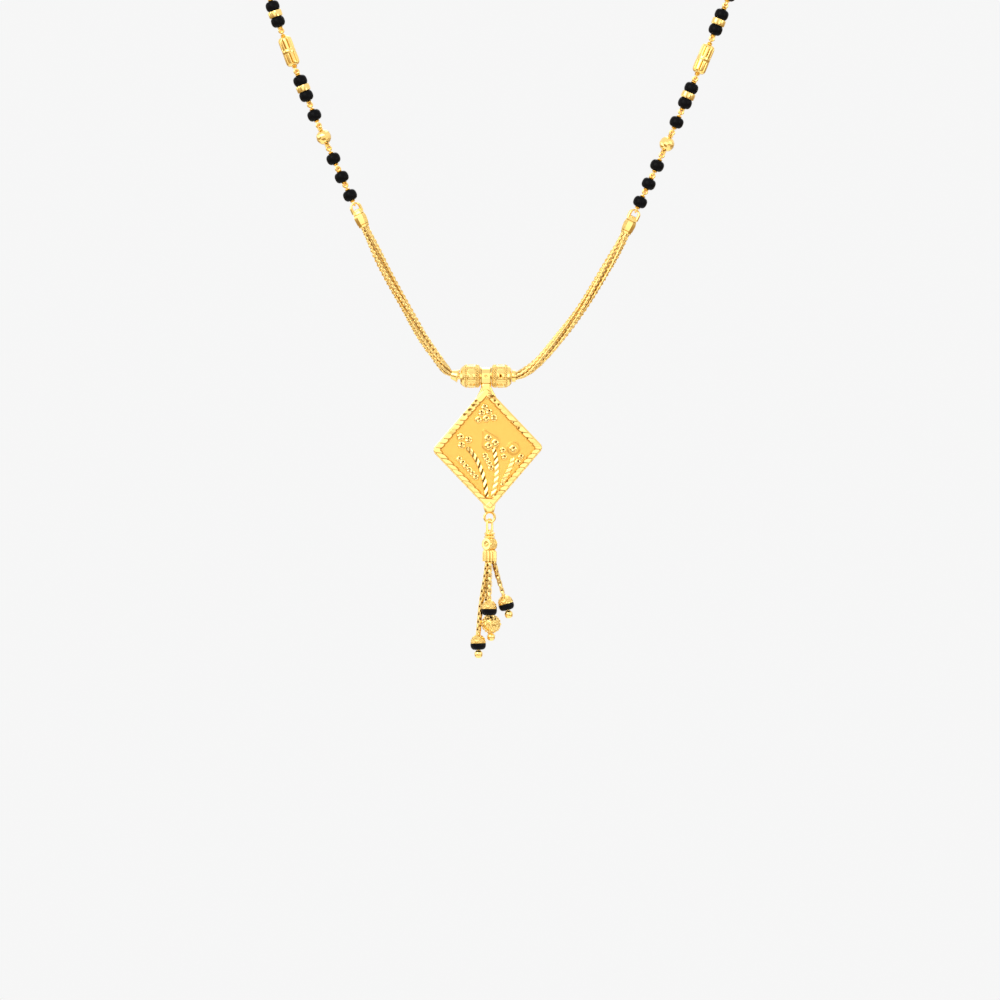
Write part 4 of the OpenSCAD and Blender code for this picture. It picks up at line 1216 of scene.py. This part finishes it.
# Columns: height and radius of the knob, of the washer above it, and of the black band as a share
KNOB_ROWS = [(-0.72, 0.16), (-0.68, 0.36), (-0.5, 0.6), (-0.18, 0.74), (0.2, 0.74), (0.48, 0.61),
             (0.62, 0.44)]
WASHER_ROWS = [(-0.1, 0.2), (-0.1, 0.42), (0.05, 0.45), (0.1, 0.2)]
BAND_ROWS = [(-0.2, 0.95), (-0.26, 0.99), (-0.5, 1.0), (-0.75, 0.98), (-1.0, 0.92), (-1.18, 0.82),
             (-1.3, 0.7), (-1.37, 0.5)]
BAND_BORE = 0.31
# Turn from one grain of the granulated ball to the next
GOLDEN_ANGLE = np.radians(137.508)
# Points of each chain from the bail's axis, but sideways from the middle plane, its roll at either end,
# and how strong the painted shade over all of it is at least
CHAINS = {
    "left": ([(0.1, 0.05, -33.3), (-0.3, 0.1, -36.5), (-0.95, 0.1, -39.9), (-1.3, 0.1, -43.1),
              (-1.55, 0.1, -46.3)], (45, 45), 0.25),
    "back": ([(0.3, 0.72, -33.3), (-0.1, 0.95, -38.5), (0, 1.05, -41), (0.6, 0.85, -42.9)], (45, 45), 0.3),
    "middle": ([(0.55, -0.5, -33.3), (0.55, -0.7, -37), (0.42, -0.9, -40.1)], (0, 0), 0.2),
    "right": ([(1.2, 0.2, -33.3), (1.9, 0.1, -36), (2.9, 0, -39.2)], (50, 0), 0.18)}
# Columns: centre, lean to the right in degrees, whether a knob ends the pin
DROPS = {"left": ((-1.6, 0.1, -47.9), 2, True), "middle": ((0.4, -0.9, -41.7), 0, False),
         "right": ((3.35, 0, -40.8), 15, True)}
GRAIN_BALL = (0.72, 0.75, -44.6)


def tassel_head(c):
    """Link, ridged neck, drum with a cut disc at its end, and fluted collar with a scalloped lip."""
    bow = TASSEL_PIVOT[2] - BAIL[2] + LINK_ABOVE_PIVOT - LINK_RADIUS
    a = np.linspace(0, np.pi, 25)
    arch = np.stack([LINK_RADIUS * np.cos(a), 0 * a, bow + LINK_RADIUS * np.sin(a)], -1)
    path = np.concatenate([[[LINK_RADIUS, 0, LINK_FOOT]], arch, [[-LINK_RADIUS, 0, LINK_FOOT]]])
    wire = 0.19 + 0.05 * ease((bow - path[:, 2]) / 0.6)
    link = turned(tube(path, wire, 12), LINK_TURN, "Z")
    side_drum = moved(turned(drum(), DRUM_TURN, "Z"), (0, 0, DRUM_HEIGHT))
    head = join(link, upright(lathe(RIDGE_ROWS, 48)), side_drum, collar(c.collar / 2))
    return moved(head, [TASSEL_PIVOT[0], BAIL[1], BAIL[2]])


def drum():
    """Drum along X: a granulated side, and a flat cut disc with a rim and a pip at either end."""
    end = [(-DRUM_HALF - out, r) for out, r in DRUM_END]
    x = np.linspace(-DRUM_HALF + 0.16, DRUM_HALF - 0.16, 33)
    rows = end + [(v, DRUM_RADIUS - 0.1) for v in x] + [(-v, r) for v, r in end[::-1]]

    def grains(x, around, r_here):
        on_side = np.where(np.abs(x) < DRUM_HALF - 0.12, 1.0, 0.0)
        places = [-0.56, -0.28, 0, 0.28, 0.56]
        return r_here + on_side * 0.9 * pebbles(x, around, DRUM_RADIUS, places, 24, 0.15)
    return lathe(rows, 168, grains)


def collar(r):
    """Collar as a radius over height and angle: twelve flutes below a narrow top, and a lip whose lower
    edge is scalloped."""
    heights, shares = np.transpose(COLLAR_ROWS)
    z = np.linspace(heights[0], heights[-1], 61)

    def flutes(z, around, r_here):
        return r_here * (1 - FLUTE_DEPTH + FLUTE_DEPTH * scoop(around * FLUTES / TURN))
    points, quads = lathe(np.stack([z, np.interp(z, heights, shares) * r], -1), 12 * FLUTES, flutes)
    around = np.arctan2(points[:, 2], points[:, 1])
    drop = SCALLOP * scoop(around * FLUTES / TURN) * ease((-32.9 - points[:, 0]) / 0.3)
    return upright((points - drop[:, None] * [1, 0, 0], quads))


def box_link(width):
    """Link of a box chain: a square band with round corners, in the XY plane. Also marks painted shade on
    its two ends, which lie deep inside the next links."""
    half, band, inner = width / 2, 0.34 * width, 0.72
    share, across = superellipse(TURN * (np.arange(16) + 0.5) / 16, 3.4)
    x, y = half * share, half * across
    section = [(k, z * band) for z, k in LINK_SECTION] + [(inner, band), (inner, -band)]
    points = np.stack([np.stack([x * k, y * k, 0 * x + z], -1) for k, z in section], 1)
    deep = np.repeat(ease((np.abs(x) / half - 0.85) / 0.1), len(section))
    return outward(*grid(points, True, True)), deep


def box_chain(path, roll, c):
    """Box chain: square links at equal steps along a smooth path, each turned by a quarter from the last,
    and all rolled by an angle in degrees that runs from the first value to the second. A core fills
    what the links leave open, dark with painted shade. Also marks the links' ends and the core with painted
    shade."""
    # core_shade is the painted shade on the core
    points, rounds, core_share, core_shade = 60, 60, 0.28, 0.85
    t, knots = np.linspace(0, 1, points), np.linspace(0, 1, len(path))
    smooth = np.stack([np.interp(t, knots, values) for values in np.transpose(path)], -1)
    for _ in range(rounds):
        smooth[1:-1] = (smooth[:-2] + 2 * smooth[1:-1] + smooth[2:]) / 4
    centres = evenly(smooth, c.link_pitch)
    second = np.arange(len(centres)) % 2
    axes = link_axes(centres, np.radians(np.linspace(*roll, len(centres))) + TURN / 4 * second)
    axes[:, 0] *= BOX_STRETCH * c.link_pitch / c.chain
    axes[:, 1:] *= np.where(second, BOX_SECOND, 1.0)[:, None, None]
    link, deep = box_link(c.chain)
    core = tube(centres, core_share * c.chain, 8)
    chain = moved(join(copies(link, centres, axes), core), MIDDLE)
    return chain, np.concatenate([np.tile(deep, len(centres)), np.full(len(core[0]), core_shade)])


def pin_and_knob(foot, with_knob=True):
    """Pin down to its foot, and the small ball cut to facets that ends it."""
    pin = upright(lathe([[foot, PIN_RADIUS], [0.0, PIN_RADIUS]], 16))
    return [pin, moved(upright(lathe(KNOB_ROWS, 12, stagger=0.5)), (0, 0, foot))] if with_knob else [pin]


def drop_top(c, with_knob):
    """Upper half of a drop with leaf cuts in rows, its neck, and the pin below it."""
    r, neck, leaves_round, leaf_high, leaf_deep = c.drop / 2, 0.36, 7, 0.5, 0.13
    z = np.linspace(-0.18, 0.985 * r, 60)
    round_side = np.maximum(np.sqrt(r * r - z * z), neck)
    profile = np.stack([np.r_[z[0], z, 1.66, 1.68], np.r_[0.2, round_side, neck, 0.2]], -1)

    def leaves(z, around, r_here):
        fold = np.abs(2 * ((around * leaves_round / TURN) % 1) - 1)
        window = ease((z + 0.08) / 0.1) * ease((1.25 - z) / 0.2)
        cut = scoop(z / leaf_high + 0.95 * fold) * np.where(r_here > 0.3, 1, 0)
        return r_here - leaf_deep * window * cut
    parts = [upright(lathe(profile, 144, leaves))]
    parts += pin_and_knob(KNOB_FOOT if with_knob else BARE_FOOT, with_knob)
    if with_knob:
        parts.append(moved(upright(lathe(WASHER_ROWS, 24)), (0, 0, WASHER)))
    return join(*parts)


def drop_band(c):
    """Black band round the pin, with upright facets and a broad foot."""
    r, facets_round, facet_deep = c.drop / 2, 14, 0.05
    rows = [(-0.2, BAND_BORE), *[(z, share * r) for z, share in BAND_ROWS], (-1.38, BAND_BORE)]

    def facets(z, around, r_here):
        return np.where(r_here > 0.4, r_here - facet_deep * scoop(around * facets_round / TURN), r_here)
    return upright(lathe(rows, 8 * facets_round, facets, closed=True))


def at_drop(name, solid):
    """A drop's solid, leaned and lowered to its place."""
    centre, lean, _ = DROPS[name]
    return moved(turned(solid, -lean, "Y"), MIDDLE + centre)


def grain_drop(c):
    """Ball whose radius rises over each of many grains, set on a spiral with a little disorder."""
    rng = np.random.default_rng(SEED)
    k = np.arange(c.grains)
    z = 1 - 2 * (k + 0.5) / c.grains
    a = k * GOLDEN_ANGLE + rng.uniform(-0.12, 0.12, c.grains)
    seats = np.stack([z, np.sqrt(1 - z * z) * np.cos(a), np.sqrt(1 - z * z) * np.sin(a)], -1)
    size = rng.uniform(0.2, 0.27, c.grains)
    r = c.grain_ball / 2
    polar, around = np.linspace(0.06, np.pi - 0.06, 90)[:, None], angles(140)
    facing = np.stack([-np.cos(polar) + 0 * around, np.sin(polar) * np.cos(around),
                       np.sin(polar) * np.sin(around)], -1)
    away = r * np.linalg.norm(facing[:, :, None, :] - seats, axis=-1)
    rise = np.sqrt(np.clip(size ** 2 - away ** 2, 0, None)).max(-1)
    ball = upright(capped(facing * (r + rise)[..., None]))
    return moved(join(ball, *pin_and_knob(GRAIN_FOOT)), MIDDLE + GRAIN_BALL)


class MANGALSUTRA_OT_tassel_head(bpy.types.Operator):
    """Makes the link, neck, drum and collar that carry the tassel's chains"""
    bl_idname = "mangalsutra.tassel_head"
    bl_label = "Tassel head"

    def execute(self, context):
        c = in_mm(context.scene.mangalsutra_tassel)
        piece("tassel_link_and_collar", tassel_head(c), "polished_gold", "tassel", ["tassel_head"], crease=35)
        return {"FINISHED"}


class MANGALSUTRA_OT_tassel_chains(bpy.types.Operator):
    """Links the four box chains of the tassel"""
    bl_idname = "mangalsutra.tassel_chains"
    bl_label = "Tassel chains"

    def execute(self, context):
        c = in_mm(context.scene.mangalsutra_tassel)
        for name, (path, roll, shade) in CHAINS.items():
            chain, deep = box_chain(path, roll, c)
            # Painted shade on the links' ends and core, and at least the chain's own painted shade everywhere
            piece(f"{name}_box_chain", chain, "fine_chain_gold", "tassel", [f"{name}_tassel_chain"],
                  hollow=np.maximum(deep, shade))
        return {"FINISHED"}


class MANGALSUTRA_OT_drops(bpy.types.Operator):
    """Makes the two-tone drops and the granulated ball at the ends of the tassel's chains"""
    bl_idname = "mangalsutra.drops"
    bl_label = "Drops"

    def execute(self, context):
        c = in_mm(context.scene.mangalsutra_tassel)
        for name, (_, _, with_knob) in DROPS.items():
            piece(f"{name}_cut_drop", at_drop(name, drop_top(c, with_knob)), "polished_gold", "tassel",
                  [f"{name}_drop"], crease=28)
            piece(f"{name}_black_band", at_drop(name, drop_band(c)), "black_glass", "tassel",
                  [f"{name}_drop_band"])
        piece("granulated_ball", grain_drop(c), "polished_gold", "tassel", ["grain_drop"], crease=40)
        return {"FINISHED"}


# Stage

# Middle of the picture, in millimetres to the right and up, and the width of the camera's sensor
AIM_X, AIM_Z = 2.34, -132.3
SENSOR = 36
# Columns: name, place from the middle of the picture in metres, size in metres and power in watts
LIGHTS = [("key", (-0.5, -0.8, 0.5), 0.7, 4.5), ("front", (0, -1.65, 0.1), 0.9, 1.7),
          ("side", (-1.0, -0.06, 0.02), 0.4, 0.8), ("fill", (0.75, -0.6, 0.1), 0.4, 1.2),
          ("rim", (0.1, 0.6, 0.6), 0.4, 1.2)]
# Places of the room's two tones from low to high, and the tones
ROOM = [(0.3, (0.45, 0.32, 0.17, 1)), (0.6, (1.05, 1.05, 1.05, 1))]


def soft_light(name, place, aim, size, power):
    """Square area light at a place, turned to its aim."""
    lamp = bpy.data.lights.new(name, "AREA")
    lamp.size, lamp.energy = size, power
    made = bpy.data.objects.new(name, lamp)
    made.location = place
    made.rotation_euler = (aim - made.location).to_track_quat("-Z", "Y").to_euler()
    bpy.context.scene.collection.objects.link(made)


class MANGALSUTRA_OT_stage(bpy.types.Operator):
    """Sets the pale floor, the soft lights, the backdrop and the camera straight in front"""
    bl_idname = "mangalsutra.stage"
    bl_label = "Stage"

    def execute(self, context):
        g = context.scene.mangalsutra_stage
        low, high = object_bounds()
        aim = Vector((AIM_X, BAIL[1], AIM_Z)) * MM
        bpy.ops.mesh.primitive_grid_add(x_subdivisions=4, y_subdivisions=4, size=g.floor_size)
        floor = context.object
        floor.name = "floor"
        floor.data.transform(Matrix.Translation((0, (low[1] + high[1]) / 2, low[2] - g.floor_drop)))
        made, wire = new_material("pale_floor")
        cloud = wire.noise(30, 3.0)
        tone = wire.blend(cloud * 0.3, (*g.backdrop, 1), (*[0.96 * v for v in g.backdrop], 1))
        finish(wire, {"Base Color": tone, "Roughness": 0.75 + 0.1 * cloud})
        floor.data.materials.append(made)
        floor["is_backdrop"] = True

        world = bpy.data.worlds.new("soft_studio")
        world.use_nodes = True
        world.node_tree.nodes.clear()
        sky = Wire(world.node_tree)
        up = sky.node("ShaderNodeTexCoord", {}, {}, "Generated")
        height = sky.node("ShaderNodeSeparateXYZ", {}, {"Vector": up}, "Z")
        room = sky.node("ShaderNodeValToRGB", {"stops": ROOM}, {0: height * 0.5 + 0.5}, "Color")
        seen = sky.node("ShaderNodeLightPath", {}, {}, "Is Camera Ray")
        light = sky.node("ShaderNodeBackground", {}, {
            "Color": sky.blend(seen, room, (*g.backdrop, 1)), "Strength": 1.0}, "Background")
        sky.node("ShaderNodeOutputWorld", {}, {"Surface": light})
        context.scene.world = world

        for name, place, size, power in LIGHTS:
            soft_light(name, aim + Vector(place), aim, size, power)

        camera = bpy.data.objects.new("camera", bpy.data.cameras.new("camera"))
        camera.data.sensor_width = SENSOR
        camera.data.lens = SENSOR * g.distance / g.width
        camera.data.clip_start, camera.data.clip_end = 0.01, 20
        camera.location = aim - Vector((0, g.distance, 0))
        camera.rotation_euler = (math.pi / 2, 0, 0)
        context.scene.collection.objects.link(camera)
        context.scene.camera = camera
        context.scene.view_settings.view_transform = "Standard"
        return {"FINISHED"}


class MANGALSUTRA_PT_panel(bpy.types.Panel):
    """Lists the sizes and the steps of the mangalsutra"""
    bl_label = "Mangalsutra"
    bl_idname = "MANGALSUTRA_PT_panel"
    bl_space_type = "VIEW_3D"
    bl_region_type = "UI"
    bl_category = "Mangalsutra"

    def draw(self, context):
        for name, group in GROUPS.items():
            box = self.layout.box()
            box.label(text=group.__doc__)
            for key in group.__annotations__:
                box.prop(getattr(context.scene, name), key)
        for step in STEPS:
            self.layout.operator(step.bl_idname)


GROUPS = {
    "mangalsutra_tones": MangalsutraTones,
    "mangalsutra_strings": MangalsutraStrings,
    "mangalsutra_bundles": MangalsutraBundles,
    "mangalsutra_middle": MangalsutraMiddle,
    "mangalsutra_pendant": MangalsutraPendant,
    "mangalsutra_tassel": MangalsutraTassel,
    "mangalsutra_stage": MangalsutraStage,
}
STEPS = (MANGALSUTRA_OT_strings, MANGALSUTRA_OT_clasp, MANGALSUTRA_OT_ferrules, MANGALSUTRA_OT_bundles,
         MANGALSUTRA_OT_barrels, MANGALSUTRA_OT_pendant, MANGALSUTRA_OT_tassel_head,
         MANGALSUTRA_OT_tassel_chains, MANGALSUTRA_OT_drops, MANGALSUTRA_OT_stage)


def register():
    for known in (*GROUPS.values(), *STEPS, MANGALSUTRA_PT_panel):
        bpy.utils.register_class(known)
    for name, group in GROUPS.items():
        setattr(bpy.types.Scene, name, bpy.props.PointerProperty(type=group))


def unregister():
    for name in GROUPS:
        delattr(bpy.types.Scene, name)
    for known in reversed((*GROUPS.values(), *STEPS, MANGALSUTRA_PT_panel)):
        bpy.utils.unregister_class(known)


def main():
    register()
    for step in STEPS:
        group, name = step.bl_idname.split(".")
        getattr(getattr(bpy.ops, group), name)()


if __name__ == "__main__":
    main()
